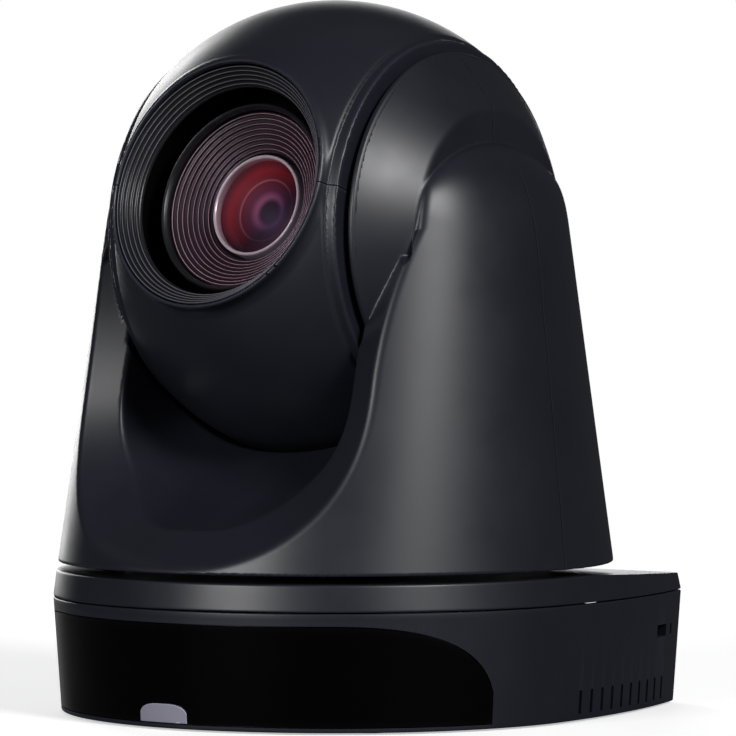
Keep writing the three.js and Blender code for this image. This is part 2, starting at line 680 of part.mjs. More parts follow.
/** The yoke's whole outer form, or the form of its hollow when inset by the wall. */
function yokeForm(inset) {
  const HEAD_CLEARANCE = 1.3;
  const low = YOKE_BOTTOM - (inset > 0 ? HOLE : 0);
  const ledge = LEDGE_X - inset;
  const ROOT = 0.4; // the arms start this far inside the domes
  const armSpace = join([halfSpace(0, 1, ledge - ROOT), halfSpace(0, -1, -ledge + ROOT)]);
  const trunk = yokeCone(inset, low, CONE_TOP - inset);
  const arms = yokeCone(inset, low, ARM_TOP).intersect(armSpace).intersect(shoulders(inset));
  const front = cutTool(CUT.front, inset);
  const rear = cutTool(CUT.rear, inset).mirror([0, 1, 0]);
  const cavityRadius = HEAD_RADIUS + HEAD_CLEARANCE + inset;
  const sides = sidesFor(inset);
  const cavity = domeSlices(cavityRadius, -ARM_INNER_X - inset, ARM_INNER_X + inset, sides);
  const body = cut(trunk.add(arms), [front, rear, cavity]);
  return body.add(domeSlices(DOME_RADIUS - inset, ARM_INNER_X + inset, ledge, sides));
}

const SHAFT_HOLE = 9;

function buildYokeCovers() {
  const shaftHole = toSolid(alongX(ring(SHAFT_HOLE, 0, -45, 45, SMALL_TURNS))).translate([0, 0, HEAD_Z]);
  const shell = cut(yokeForm(0), [yokeForm(WALL), shaftHole]);
  const front = shell.intersect(halfSpace(1, -1, -GAP / 2));
  const rear = shell.intersect(halfSpace(1, 1, GAP / 2));
  add(yoke, "yoke_front_cover", toGeometry(front), "shell");
  add(yoke, "yoke_rear_cover", toGeometry(rear), "shell");
}

const FRAME_LOW = 41.2;
const FRAME_HIGH = 43.2;
const UPRIGHT = { inner: 40.4, thickness: 2, halfDepth: 15, top: 140 };
const TILT_BEARING_RADIUS = 10;
const TILT_SHAFT_RADIUS = 6;

/** The metal frame in the yoke: a turntable with two uprights that carry the tilt bearings. */
function buildYokeFrame() {
  const TABLE_RADIUS = 56;
  const table = toSolid(ring(TABLE_RADIUS, SPINDLE_RADIUS - 3, FRAME_LOW, FRAME_HIGH, HIDDEN_TURNS));
  const { inner, thickness, halfDepth, top } = UPRIGHT;
  const uprights = [-1, 1].map((side) => {
    const [low, high] = [side * inner, side * (inner + thickness)].sort((a, b) => a - b);
    return toSolid(box([low, -halfDepth, FRAME_LOW], [high, halfDepth, top]));
  });
  const bearingHole = toSolid(alongX(ring(TILT_BEARING_RADIUS + GAP, 0, -50, 50, SMALL_TURNS)));
  const frame = cut(join([table, ...uprights]), [bearingHole.translate([0, 0, HEAD_Z])]);
  add(yoke, "yoke_frame", toGeometry(frame), "steel");

  const FLANGE_RADIUS = 20;
  const bore = SPINDLE_RADIUS - 3;
  const flangeLow = FRAME_LOW - GAP - 2.2;
  const spindle = [
    [bore, 11.5], [SPINDLE_RADIUS, 11.5], [SPINDLE_RADIUS, flangeLow], [FLANGE_RADIUS, flangeLow],
    [FLANGE_RADIUS, FRAME_LOW - GAP], [bore, FRAME_LOW - GAP], [bore, 11.5],
  ];
  add(yoke, "pan_spindle", turned(spindle, HIDDEN_TURNS), "steel");

  const OVERHANG = 0.25; // of a bearing past either face of its upright
  for (const [name, side] of [["tilt_bearing_left", -1], ["tilt_bearing_right", 1]]) {
    const width = UPRIGHT.thickness + 2 * OVERHANG;
    const race = alongX(ring(TILT_BEARING_RADIUS, TILT_SHAFT_RADIUS + GAP, 0, width, SMALL_TURNS));
    const start = side > 0 ? UPRIGHT.inner - OVERHANG : -UPRIGHT.inner - width + OVERHANG;
    add(yoke, name, race, "steel", [start, 0, HEAD_Z]);
  }
}

const TILT_BELT_X = 44.2;

function buildTiltDrive() {
  const MOTOR = { radius: 13, length: 9, foot: 62.4 };
  const tiltMotor = motorCan(MOTOR.radius, MOTOR.length).rotateY(-Math.PI / 2);
  add(yoke, "tilt_motor", tiltMotor, "steel", [MOTOR.foot, 0, TILT_MOTOR_Z]);

  const loop = belt(TILT_PULLEY_RADIUS, MOTOR_PULLEY_RADIUS, TILT_MOTOR_Z - HEAD_Z);
  const turnedBelt = loop.rotateX(Math.PI / 2).rotateZ(Math.PI / 2);
  add(yoke, "tilt_belt", turnedBelt, "rubber", [TILT_BELT_X, 0, HEAD_Z]);

  const shaftLength = MOTOR.foot - TILT_BELT_X - BELT_WIDTH - 4;
  const facingOut = drivePulley(shaftLength).rotateY(-Math.PI / 2);
  add(yoke, "tilt_motor_pulley", facingOut, "brass", [TILT_BELT_X + BELT_WIDTH, 0, TILT_MOTOR_Z]);

  const shelfHole = toSolid(alongX(ring(SHAFT_RADIUS + 4, 0, 40, 60, SMALL_TURNS)));
  const face = MOTOR.foot - MOTOR.length;
  const SHELF = { thickness: 0.8, halfDepth: 12, below: 15, above: 13 };
  const faceX = face - 1.4 - GAP;
  const shelf = toSolid(
    box(
      [faceX - SHELF.thickness, -SHELF.halfDepth, TILT_MOTOR_Z - SHELF.below],
      [faceX, SHELF.halfDepth, TILT_MOTOR_Z + SHELF.above],
    ),
  );
  const wall = UPRIGHT.inner + UPRIGHT.thickness + GAP;
  const foot = toSolid(
    box(
      [wall, -SHELF.halfDepth, TILT_MOTOR_Z - SHELF.below],
      [faceX, SHELF.halfDepth, TILT_MOTOR_Z - SHELF.below + 2],
    ),
  );
  const bracket = cut(join([shelf, foot]), [shelfHole.translate([0, 0, TILT_MOTOR_Z])]);
  add(yoke, "tilt_motor_bracket", toGeometry(bracket), "steel");
}

// ---------------------------------------------------------------- head

/** The head's outer form about the tilt axis, or its hollow when inset by the wall. */
function headForm(inset) {
  const radius = HEAD_RADIUS - inset;
  const edge = Math.sqrt(radius ** 2 - (HEAD_SIDE_X - inset / 2) ** 2);
  const STEP = 0.9;
  const face = HEAD_FACE_X - inset;
  const side = HEAD_SIDE_X - inset / 2;
  const inner = edge - STEP;
  const half = [[0, face], [inner - (HEAD_FACE_X - HEAD_SIDE_X), face], [inner, side], [edge, side]];
  const STEPS = inset > 0 ? 6 : 10;
  const start = Math.acos(side / radius);
  const round = [];
  for (let k = 1; k < STEPS; k += 1) {
    const turn = start + (k / STEPS) * (Math.PI - 2 * start);
    round.push([radius * Math.sin(turn), radius * Math.cos(turn)]);
  }
  const mirrored = half.map(([r, x]) => [r, -x]).reverse();
  return toSolid(alongX(turned([...half, ...round, ...mirrored], sidesFor(inset))));
}

/** The lip that the skin raises round the lens, where the round head falls away from it. */
function lensCollar() {
  const COLLAR_BACK = 40;
  const SOFT_EDGE = 0.6;
  const collar = turned([
    [0, COLLAR_BACK], [COLLAR_RADIUS, COLLAR_BACK], [COLLAR_RADIUS, COLLAR_FRONT - SOFT_EDGE],
    [COLLAR_RADIUS - SOFT_EDGE, COLLAR_FRONT], [0, COLLAR_FRONT],
  ]);
  return toSolid(alongFront(collar)).translate([0, 0, -LENS_DROP]);
}

function buildHeadShells() {
  const lensHole = toSolid(alongFront(ring(COLLAR_HOLE, 0, 20, 90))).translate([0, 0, -LENS_DROP]);
  const hubHole = toSolid(alongX(ring(SHAFT_HOLE, 0, -60, 60, SMALL_TURNS)));
  const shell = cut(headForm(0).add(lensCollar()), [headForm(WALL), lensHole, hubHole]);
  const upper = shell.intersect(halfSpace(2, 1, -LENS_DROP + GAP / 2));
  const lower = shell.intersect(halfSpace(2, -1, -LENS_DROP - GAP / 2));
  add(head, "head_upper_shell", toGeometry(upper), "shell");
  add(head, "head_lower_shell", toGeometry(lower), "shell");
}

/** Adds a piece turned about the lens axis from [radius, distance forwards] points. */
function addOnLensAxis(name, points, material, turns = TURNS, forwards = 0) {
  add(head, name, alongFront(turned(points, turns)), material, [0, -forwards, -LENS_DROP]);
}

const RIBS = 5;

/** The ribbed bezel inside the collar: steps that shrink inwards and fall back. */
function bezelProfile() {
  const OUTER = COLLAR_HOLE - GAP;
  const PITCH = (OUTER - LENS_OPENING) / RIBS;
  const FALL = 0.95;
  const BACK = 40.5;
  const points = [[OUTER, BACK]];
  let radius = OUTER;
  let front = COLLAR_FRONT - 0.7;
  for (let k = 0; k < RIBS; k += 1) {
    points.push([radius, front]);
    radius -= PITCH;
    points.push([radius, front]);
    front -= FALL;
  }
  points.push([LENS_OPENING, BACK], [OUTER, BACK]);
  return points;
}

const LENS_TURNS = 32;
const BARREL_FRONT = 41.4;
const BARREL_BORE = 23.7;
const BARREL_BACK = 15;
const FUNNEL_STEPS = 3;
const RING_RADIUS = 14;
const RING_FRONT = 34.4;

/** The stepped black baffle between the barrel's rim and the silver ring. */
function funnelProfile() {
  const outer = BARREL_BORE - GAP;
  const front = 37.6;
  const inner = RING_RADIUS + GAP;
  const fall = (front - RING_FRONT + 1) / FUNNEL_STEPS;
  const pitch = (outer - inner) / (FUNNEL_STEPS + 1);
  const points = [[outer, front - 6], [outer, front]];
  let radius = outer;
  let level = front;
  for (let k = 0; k < FUNNEL_STEPS; k += 1) {
    radius -= pitch;
    points.push([radius, level]);
    level -= fall;
    points.push([radius, level]);
  }
  points.push([inner, level], [inner, front - 8], [outer, front - 6]);
  return points;
}

/** A spherical front surface of a lens: points from the rim to the axis. */
function lensArc(radius, curve, apex, steps) {
  const points = [];
  for (let k = 0; k <= steps; k += 1) {
    const r = radius * (1 - k / steps);
    points.push([r, apex - curve + Math.sqrt(curve ** 2 - r ** 2)]);
  }
  return points;
}

function buildLens() {
  addOnLensAxis("lens_bezel", bezelProfile(), "darkTrim", LENS_TURNS);

  const barrel = [
    [BARREL_BORE, BARREL_BACK], [BARREL_RADIUS, BARREL_BACK], [BARREL_RADIUS, BARREL_FRONT - 0.5],
    [BARREL_RADIUS - 0.5, BARREL_FRONT], [BARREL_BORE, BARREL_FRONT], [BARREL_BORE, BARREL_BACK],
  ];
  addOnLensAxis("lens_barrel", barrel, "darkTrim", LENS_TURNS);
  addOnLensAxis("lens_baffle", funnelProfile(), "darkTrim", LENS_TURNS);

  const GLASS = { radius: BARREL_BORE - GAP, curve: 62, apex: 44, thickness: 1.6, steps: 3 };
  const face = lensArc(GLASS.radius, GLASS.curve, GLASS.apex, GLASS.steps);
  const back = face.map(([r, h]) => [r, h - GLASS.thickness]).reverse();
  addOnLensAxis("front_glass", [...back, ...face], "glass", LENS_TURNS);

  const RING = { bore: 12.8, back: 28 };
  const retaining = [
    [RING.bore, RING.back], [RING_RADIUS, RING.back], [RING_RADIUS, RING_FRONT - 0.3],
    [RING_RADIUS - 0.3, RING_FRONT], [RING.bore + 0.3, RING_FRONT],
    [RING.bore, RING_FRONT - 0.3], [RING.bore, RING.back],
  ];
  addOnLensAxis("retaining_ring", retaining, "silver", LENS_TURNS);

  const ELEMENT = { radius: RING.bore - GAP, curve: 22, apex: 36.6, steps: 4 };
  const dome = lensArc(ELEMENT.radius, ELEMENT.curve, ELEMENT.apex, ELEMENT.steps);
  const element = [[0, RING.back], [ELEMENT.radius, RING.back], ...dome];
  addOnLensAxis("inner_element", element, "glass", HIDDEN_TURNS);
}

/** A lens cell: a black ring that carries one glass element, as one sliding piece. */
function lensCell(radius, length, bulge) {
  const glassRadius = radius * 0.72;
  const half = length / 2;
  return [
    [0, -half - bulge], [glassRadius / 2, -half - bulge * 0.7], [glassRadius, -half],
    [radius, -half], [radius, half], [glassRadius, half],
    [glassRadius / 2, half + bulge * 0.7], [0, half + bulge],
  ];
}

const BLOCK_HALF = 24;
const BLOCK_BACK = -34;
const CELL_RADIUS = 20;

/** The zoom block behind the barrel, with its two sliding cells, motors and image sensor. */
function buildZoomBlock() {
  const front = BARREL_BACK - GAP;
  const drop = -LENS_DROP;
  const block = toSolid(
    box([-BLOCK_HALF, -front, drop - BLOCK_HALF], [BLOCK_HALF, -BLOCK_BACK, drop + BLOCK_HALF]),
  );
  const bore = toSolid(alongFront(ring(CELL_RADIUS + 1.2, 0, BLOCK_BACK + 5, 20))).translate([0, 0, drop]);
  const SENSOR_OPENING = 6;
  const gate = toSolid(
    box([-SENSOR_OPENING, 0, drop - SENSOR_OPENING], [SENSOR_OPENING, 60, drop + SENSOR_OPENING]),
  );
  add(head, "zoom_block", toGeometry(cut(block, [bore, gate])), "darkTrim");
  addOnLensAxis("zoom_cell", lensCell(CELL_RADIUS, 7, 2), "darkTrim", SMALL_TURNS, ZOOM_REST);
  addOnLensAxis("focus_cell", lensCell(CELL_RADIUS, 5, 1.5), "darkTrim", SMALL_TURNS, FOCUS_REST);

  const BOARD = { half: 18, thickness: 1.6 };
  const back = -BLOCK_BACK + GAP;
  const board = toSolid(
    box([-BOARD.half, back, drop - BOARD.half], [BOARD.half, back + BOARD.thickness, drop + BOARD.half]),
  );
  const chip = toSolid(box([-5, back - 3, drop - 5], [5, back + 1, drop + 5]));
  add(head, "sensor_board", toGeometry(board.add(chip)), "board");

  const MOTOR = { radius: 5, length: 16, shaftRadius: 1.5, shaft: 3, aside: 12, back: 20 };
  const side = BLOCK_HALF + MOTOR.radius + GAP;
  for (const [name, way] of [["zoom_motor", -1], ["focus_motor", 1]]) {
    const shaftEnd = MOTOR.length + MOTOR.shaft;
    const can = [
      [0, 0], [MOTOR.radius, 0], [MOTOR.radius, MOTOR.length],
      [MOTOR.shaftRadius, MOTOR.length], [MOTOR.shaftRadius, shaftEnd], [0, shaftEnd],
    ];
    const place = [way * MOTOR.aside, MOTOR.back, drop - side];
    add(head, name, alongFront(turned(can, SMALL_TURNS)), "steel", place);
  }

  const PCB = { halfWidth: 22, front: -18, back: 24, low: drop + BLOCK_HALF + 4, thickness: 1.6 };
  const pcbHigh = [PCB.halfWidth, PCB.back, PCB.low + PCB.thickness];
  add(head, "head_board", box([-PCB.halfWidth, PCB.front, PCB.low], pcbHigh), "board");
}

const ZOOM_REST = 16; // distance of each cell's middle in front of the tilt axis, at rest
const FOCUS_REST = -14;

/** Side plates that tie the zoom block to the two tilt shafts, with the driven pulley on the right. */
function buildTiltShafts() {
  const PLATE = { inner: BLOCK_HALF + GAP, thickness: 2, front: -14, back: 22, half: 20 };
  const shaftStart = PLATE.inner + PLATE.thickness + GAP;
  const SHAFT_END = { left: 45, right: 51.5 };
  for (const [name, side] of [["left", -1], ["right", 1]]) {
    const span = [side * PLATE.inner, side * (PLATE.inner + PLATE.thickness)].sort((a, b) => a - b);
    const plate = box([span[0], PLATE.front, -PLATE.half], [span[1], PLATE.back, PLATE.half]);
    add(head, `head_plate_${name}`, plate, "steel");
    const HUB = { radius: 8, end: 34 };
    const shaft = [
      [0, shaftStart], [HUB.radius, shaftStart], [HUB.radius, HUB.end], [TILT_SHAFT_RADIUS, HUB.end],
      [TILT_SHAFT_RADIUS, SHAFT_END[name]], [0, SHAFT_END[name]],
    ];
    const turnedShaft = alongX(turned(shaft, SMALL_TURNS));
    if (side < 0) turnedShaft.rotateZ(Math.PI);
    add(head, `tilt_shaft_${name}`, turnedShaft, "steel");
  }
  const driven = alongX(pulley(TILT_PULLEY_RADIUS, TILT_SHAFT_RADIUS + GAP, HIDDEN_TURNS));
  add(head, "tilt_pulley", driven, "darkTrim", [TILT_BELT_X, 0, 0]);
}

// ---------------------------------------------------------------- fasteners

function buildScrews() {
  const SCREW = { radius: 2.6, slot: 0.8, depth: 0.4, low: PLATE_LOW - 0.8, high: PLATE_LOW - 0.1 };
  const SCREW_PLACES = [[-56, 8], [56, 8], [0, -58], [0, 62]];
  const halfSlot = SCREW.slot / 2;
  const slotHigh = [SCREW.radius, halfSlot, SCREW.low + SCREW.depth];
  const slot = toSolid(box([-SCREW.radius, -halfSlot, 0], slotHigh));
  SCREW_PLACES.forEach(([x, y], k) => {
    const screw = toSolid(ring(SCREW.radius, 0, SCREW.low, SCREW.high, SMALL_TURNS)).subtract(slot);
    add(camera, `base_screw_${k + 1}`, toGeometry(screw), "steel", [x, y, 0]);
  });
}

buildHousing();
buildTopRing();
buildWindow();
buildFloor();
buildDeck();
buildPanDrive();
buildConnectors();
buildBaseBoards();
buildYokeCovers();
buildYokeFrame();
buildTiltDrive();
buildHeadShells();
buildLens();
buildZoomBlock();
buildTiltShafts();
buildScrews();

export default camera;
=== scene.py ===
"""Looks of the pan-tilt-zoom camera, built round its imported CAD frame.

Shapes are worked out in millimetres and made into meshes in metres.
A moulded shell is the zero surface of a distance field, meshed on a grid and drawn onto the surface.
"""

import json
import math

import bmesh
import bpy
import numpy as np
from mathutils import Matrix, Vector


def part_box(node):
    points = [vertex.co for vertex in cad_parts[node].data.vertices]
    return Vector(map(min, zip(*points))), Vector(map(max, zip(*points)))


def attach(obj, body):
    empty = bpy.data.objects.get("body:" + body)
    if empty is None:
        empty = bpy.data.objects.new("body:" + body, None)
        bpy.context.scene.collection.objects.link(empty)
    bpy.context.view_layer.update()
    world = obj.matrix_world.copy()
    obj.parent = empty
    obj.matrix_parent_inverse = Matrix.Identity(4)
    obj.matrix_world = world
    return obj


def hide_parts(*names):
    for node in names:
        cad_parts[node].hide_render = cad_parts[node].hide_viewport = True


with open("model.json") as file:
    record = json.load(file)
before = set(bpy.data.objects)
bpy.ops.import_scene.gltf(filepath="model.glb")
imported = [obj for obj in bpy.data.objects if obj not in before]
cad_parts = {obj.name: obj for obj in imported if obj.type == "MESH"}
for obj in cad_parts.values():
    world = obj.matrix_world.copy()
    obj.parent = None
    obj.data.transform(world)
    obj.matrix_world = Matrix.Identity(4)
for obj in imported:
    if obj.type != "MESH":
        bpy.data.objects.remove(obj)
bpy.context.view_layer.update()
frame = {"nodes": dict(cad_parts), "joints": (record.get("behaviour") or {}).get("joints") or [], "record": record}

MM = 0.001
TINY = 1e-9

# -------- dimensions, from the frame

joints = {joint["name"]: joint for joint in frame["joints"]}
TILT_Z = joints["tilt"]["pos_m"][2] / MM
FORWARDS = Vector(joints["zoom"]["axis"])
REST_TILT = math.atan2(FORWARDS.z, -FORWARDS.y)
HEAD_PLACE = Matrix.Translation((0, 0, TILT_Z)) @ Matrix.Rotation(-REST_TILT, 4, "X")


def low_high(node):
    """A CAD node's lowest and highest corner in millimetres."""
    low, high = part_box(node)
    return low / MM, high / MM


HOUSING_LOW, HOUSING_HIGH = low_high("base_housing")
RING_LOW, RING_HIGH = low_high("base_top_ring")
YOKE_LOW, YOKE_HIGH = low_high("yoke_rear_cover")
BASE_RADIUS = HOUSING_HIGH.x
BASE_BOTTOM = HOUSING_LOW.z
BASE_SEAM = (HOUSING_HIGH.z + RING_LOW.z) / 2
BASE_TOP = RING_HIGH.z
YOKE_BOTTOM = YOKE_LOW.z
YOKE_RADIUS = YOKE_HIGH.x

GAP = 0.3  # the seams between the moulded covers
WALL = 2.4
TAPER_X = 0.104  # how much the yoke's sides lean in, per millimetre of height
TAPER_Y = 0.203
ARM_INNER_X = 37.6
LEDGE_X = 50  # outer ends of the domes
HEAD_RADIUS = 60.2
HEAD_SIDE_X = 33.6
HEAD_FACE_X = 36.2  # flat ends of the head
LENS_DROP = 4  # distance of the lens axis below the tilt axis
SHAFT_HOLE = 9

# -------- meshes


def added(name, data):
    """A new object in the scene."""
    item = bpy.data.objects.new(name, data)
    bpy.context.scene.collection.objects.link(item)
    return item


def edited(mesh, change):
    """Changes a mesh through bmesh."""
    shape = bmesh.new()
    shape.from_mesh(mesh)
    change(shape)
    shape.to_mesh(mesh)
    shape.free()


def make(name, vertices, faces):
    """A smooth mesh object from points in millimetres."""
    mesh = bpy.data.meshes.new(name)
    corners = faces.tolist() if isinstance(faces, np.ndarray) else faces
    mesh.from_pydata((np.asarray(vertices) * MM).tolist(), [], corners)
    mesh.polygons.foreach_set("use_smooth", np.ones(len(mesh.polygons), bool))
    return added(name, mesh)


def place(piece, matrix):
    """Moves a piece's mesh by a matrix in millimetres."""
    scaled = matrix.copy()
    scaled.translation = matrix.translation * MM
    piece.data.transform(scaled)
    return piece


def crisp(piece, angle=32):
    """Smooth shading that keeps edges sharper than the angle."""
    piece.data.set_sharp_from_angle(angle=math.radians(angle))
    return piece


def finish_piece(piece, body, slot, material, *nodes):
    """Gives a piece its material and its body, and hides the CAD nodes that it stands for."""
    piece.data.materials.clear()
    piece.data.materials.append(material)
    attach(piece, body)
    if nodes:
        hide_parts(*nodes)
    return piece


def bake_modifiers(piece):
    """Turns a piece's modifiers into plain mesh."""
    graph = bpy.context.evaluated_depsgraph_get()
    mesh = bpy.data.meshes.new_from_object(piece.evaluated_get(graph))
    old = piece.data
    piece.modifiers.clear()
    piece.data = mesh
    bpy.data.meshes.remove(old)
    return piece


def cut_away(piece, cutters):
    """Cuts closed meshes out of a piece, and removes them."""
    for cutter in cutters:
        modifier = piece.modifiers.new("cut", "BOOLEAN")
        modifier.operation = "DIFFERENCE"
        modifier.solver = "EXACT"
        modifier.object = cutter
    bake_modifiers(piece)
    for cutter in cutters:
        bpy.data.objects.remove(cutter)
    return piece


def bevel(piece, width, segments=2, angle=35):
    """Rounds every edge sharper than the angle."""
    modifier = piece.modifiers.new("edge", "BEVEL")
    modifier.width = width * MM
    modifier.segments = segments
    modifier.limit_method = "ANGLE"
    modifier.angle_limit = math.radians(angle)
    return bake_modifiers(piece)


def grid_faces(rows, columns, close_rows=False, close_columns=False):
    """Quads between rows of points."""
    faces = []
    for i in range(rows if close_rows else rows - 1):
        for j in range(columns if close_columns else columns - 1):
            a = i * columns + j
            b = i * columns + (j + 1) % columns
            down = ((i + 1) % rows) * columns
            faces.append((a, b, down + (j + 1) % columns, down + j))
    return faces


def face_out(piece):
    """Makes every face of a closed mesh look outwards."""
    edited(piece.data, lambda shape: bmesh.ops.recalc_face_normals(shape, faces=shape.faces))
    return piece


HOLD_SHARE = 0.04  # where the extra points that keep a stretch flat lie along it


def softened(points, radius, closed=False, steps=3, hold=False):
    """A line of points with its corners rounded; hold keeps the stretches between them flat."""
    points = [np.array(point, float) for point in points]
    count = len(points)
    out = []
    for k, corner in enumerate(points):
        if not closed and k in (0, count - 1):
            out.append(corner)
            continue
        before = points[k - 1] - corner
        after = points[(k + 1) % count] - corner
        length = min(np.linalg.norm(before), np.linalg.norm(after))
        if length < TINY:
            continue
        reach = min(radius, 0.45 * length)
        start = corner + before / np.linalg.norm(before) * reach
        end = corner + after / np.linalg.norm(after) * reach
        if hold:
            out.append(start + before * HOLD_SHARE)
        for step in range(steps + 1):
            t = step / steps
            out.append((1 - t) ** 2 * start + 2 * t * (1 - t) * corner + t**2 * end)
        if hold:
            out.append(end + after * HOLD_SHARE)
    return out


def circle(angles):
    """Points of a circle of radius 1."""
    return np.stack([np.cos(angles), np.sin(angles)], 1)


def turn(name, profile, turns=160, closed=True):
    """A solid turned about +Z from [radius, height] points; a closed profile makes a ring."""
    profile = np.array(profile, float)
    round_once = circle(np.arange(turns) * 2 * math.pi / turns)
    points = [np.column_stack([r * round_once, np.full(turns, height)]) for r, height in profile]
    rows = len(profile)
    faces = grid_faces(rows, turns, close_rows=closed, close_columns=True)
    piece = make(name, np.concatenate(points), faces)
    if not closed:
        edited(piece.data, lambda shape: bmesh.ops.remove_doubles(shape, verts=shape.verts, dist=TINY))
    return face_out(piece)


LENS_PLACE = HEAD_PLACE @ Matrix.Translation((0, 0, -LENS_DROP)) @ Matrix.Rotation(math.pi / 2, 4, "X")


def turn_on_lens(name, profile, radius=0.15, closed=True, turns=160, angle=32):
    """A ring turned about the lens axis, its heights measured forwards from the tilt axis."""
    piece = turn(name, softened(profile, radius, closed), turns, closed)
    return crisp(place(piece, LENS_PLACE), angle)


# -------- distance fields


def blend_min(a, b, size):
    """The nearer of two fields, with a fillet where they meet."""
    overlap = np.maximum(size - np.abs(a - b), 0) / size
    return np.minimum(a, b) - overlap * overlap * size / 4


def blend_max(a, b, size):
    """The space inside both fields, with a rounded edge where they meet."""
    return -blend_min(-a, -b, size)


def superellipse(u, v, half_u, half_v, power):
    """Distance, near the edge, from the curve |u / a|^n + |v / b|^n = 1."""
    a = np.abs(u) / half_u
    b = np.abs(v) / half_v
    level = (a**power + b**power + TINY) ** (1 / power)
    slope = level ** (1 - power) * np.hypot(a ** (power - 1) / half_u, b ** (power - 1) / half_v)
    return (level - 1) / np.maximum(slope, 0.4 / np.maximum(half_u, half_v))


def crossings(values, axis, stride):
    """Where lines along one axis cross the surface: the cells round each, the spot and a quad."""
    inside = values < 0
    first = [slice(None)] * 3
    second = [slice(None)] * 3
    first[axis] = slice(0, -1)
    second[axis] = slice(1, None)
    crossed = np.argwhere(inside[tuple(first)] != inside[tuple(second)])
    others = [k for k in range(3) if k != axis]
    crossed = crossed[(crossed[:, others[0]] > 0) & (crossed[:, others[1]] > 0)]
    step = np.zeros(3, int)
    step[axis] = 1
    near = values[tuple(crossed.T)]
    far = values[tuple((crossed + step).T)]
    spot = crossed.astype(float)
    spot[:, axis] += near / (near - far)
    around = []
    for back_a, back_b in ((0, 0), (1, 0), (1, 1), (0, 1)):
        corner = crossed.copy()
        corner[:, others[0]] -= back_a
        corner[:, others[1]] -= back_b
        around.append(corner @ stride)
    quad = np.stack(around, 1)
    starts_inside = inside[tuple(crossed.T)]
    turned = starts_inside if axis != 1 else ~starts_inside
    quad[turned] = quad[turned][:, ::-1]
    return around, spot, quad


def surface_net(field, low, high, cell):
    """Points and quads on a field's zero surface inside a box: one point in each cell it crosses."""
    axes = [np.arange(lo - cell, hi + 2 * cell, cell) for lo, hi in zip(low, high)]
    shape = [len(axis) for axis in axes]
    values = np.empty(shape, np.float32)
    for i, x in enumerate(axes[0]):
        y, z = np.meshgrid(axes[1], axes[2], indexing="ij")
        values[i] = field(np.full_like(y, x), y, z)
    stride = np.array([shape[1] * shape[2], shape[2], 1])
    cells, spots, quads = [], [], []
    for axis in range(3):
        around, spot, quad = crossings(values, axis, stride)
        cells.extend(around)
        spots.extend([spot] * len(around))
        quads.append(quad)
    spots = np.concatenate(spots)
    known, index = np.unique(np.concatenate(cells), return_inverse=True)
    count = np.bincount(index)
    points = np.stack([np.bincount(index, spots[:, k]) / count for k in range(3)], 1)
    origin = np.array([axis[0] for axis in axes])
    quads = np.searchsorted(known, np.concatenate(quads))
    return origin + points * cell, quads[:, ::-1]


def slope_of(field, points, reach=0.05):
    """A field's value and gradient at points."""
    x, y, z = points.T
    value = field(x, y, z)
    gradient = np.stack(
        [
            field(x + reach, y, z) - field(x - reach, y, z),
            field(x, y + reach, z) - field(x, y - reach, z),
            field(x, y, z + reach) - field(x, y, z - reach),
        ],
        1,
    ) / (2 * reach)
    return value, gradient


def drawn_on(field, points, limit, rounds):
    """Points moved onto a field's zero surface, none by more than the limit in a round."""
    for _ in range(rounds):
        value, gradient = slope_of(field, points)
        squared = np.maximum((gradient**2).sum(1), 0.05)
        step = gradient * (-value / squared)[:, None]
        length = np.linalg.norm(step, axis=1)
        step *= np.minimum(1, limit / np.maximum(length, TINY))[:, None]
        points = points + step
    return points


def relaxed(points, quads, share=0.5):
    """Points moved part of the way to the middle of their neighbours."""
    starts = quads.ravel()
    ends = np.roll(quads, -1, axis=1).ravel()
    both = np.concatenate([starts, ends])
    others = np.concatenate([ends, starts])
    count = np.bincount(both, minlength=len(points))
    middle = np.stack(
        [np.bincount(both, points[others, k], minlength=len(points)) / count for k in range(3)], 1
    )
    return points + (middle - points) * share


def mould(field, low, high, cell):
    """Points and quads of a field's surface: meshed, evened out and drawn onto the exact shape."""
    limit = 0.7 * cell
    points, quads = surface_net(field, low, high, cell)
    for _ in range(3):
        points = drawn_on(field, relaxed(points, quads), limit, 2)
    return drawn_on(field, points, limit, 3), quads


def cut_at_seam(piece, seam, across):
    """Keeps the part of a closed piece past a flat seam, and closes it there."""

    def cut(shape):
        everything = list(shape.verts) + list(shape.edges) + list(shape.faces)
        result = bmesh.ops.bisect_plane(
            shape, geom=everything, dist=TINY, plane_co=seam, plane_no=across, clear_inner=True
        )
        edges = [item for item in result["geom_cut"] if isinstance(item, bmesh.types.BMEdge)]
        bmesh.ops.triangle_fill(shape, use_beauty=True, edges=edges, normal=-across)

    edited(piece.data, cut)


def mesh_rows(items, key, width=1, kind=float):
    """One row of numbers for each vertex, corner or face of a mesh."""
    values = np.empty(width * len(items), kind)
    items.foreach_get(key, values)
    return values.reshape(-1, width) if width > 1 else values


def moulded_half(name, field, points, quads, axis, side, at):
    """The part of a moulded piece on one side of a flat seam, closed and shaded by its field."""
    piece = make(name, points, quads)
    across = Vector([side if k == axis else 0 for k in range(3)])
    cut_at_seam(piece, across * (side * at * MM), across)
    mesh = piece.data
    _, gradient = slope_of(field, mesh_rows(mesh.vertices, "co", 3) / MM)
    slopes = gradient / np.maximum(np.linalg.norm(gradient, axis=1), TINY)[:, None]
    normals = slopes[mesh_rows(mesh.loops, "vertex_index", kind=int)]
    middles = mesh_rows(mesh.polygons, "center", 3)
    facings = mesh_rows(mesh.polygons, "normal", 3)
    on_seam = np.abs(middles[:, axis] / MM - at) < 1e-3
    flat = np.abs(facings[:, axis]) > 0.999
    sizes = mesh_rows(mesh.polygons, "loop_total", kind=int)
    normals[np.repeat(on_seam & flat, sizes)] = -np.array(across)
    mesh.normals_split_custom_set(normals.tolist())
    return piece


# -------- yoke

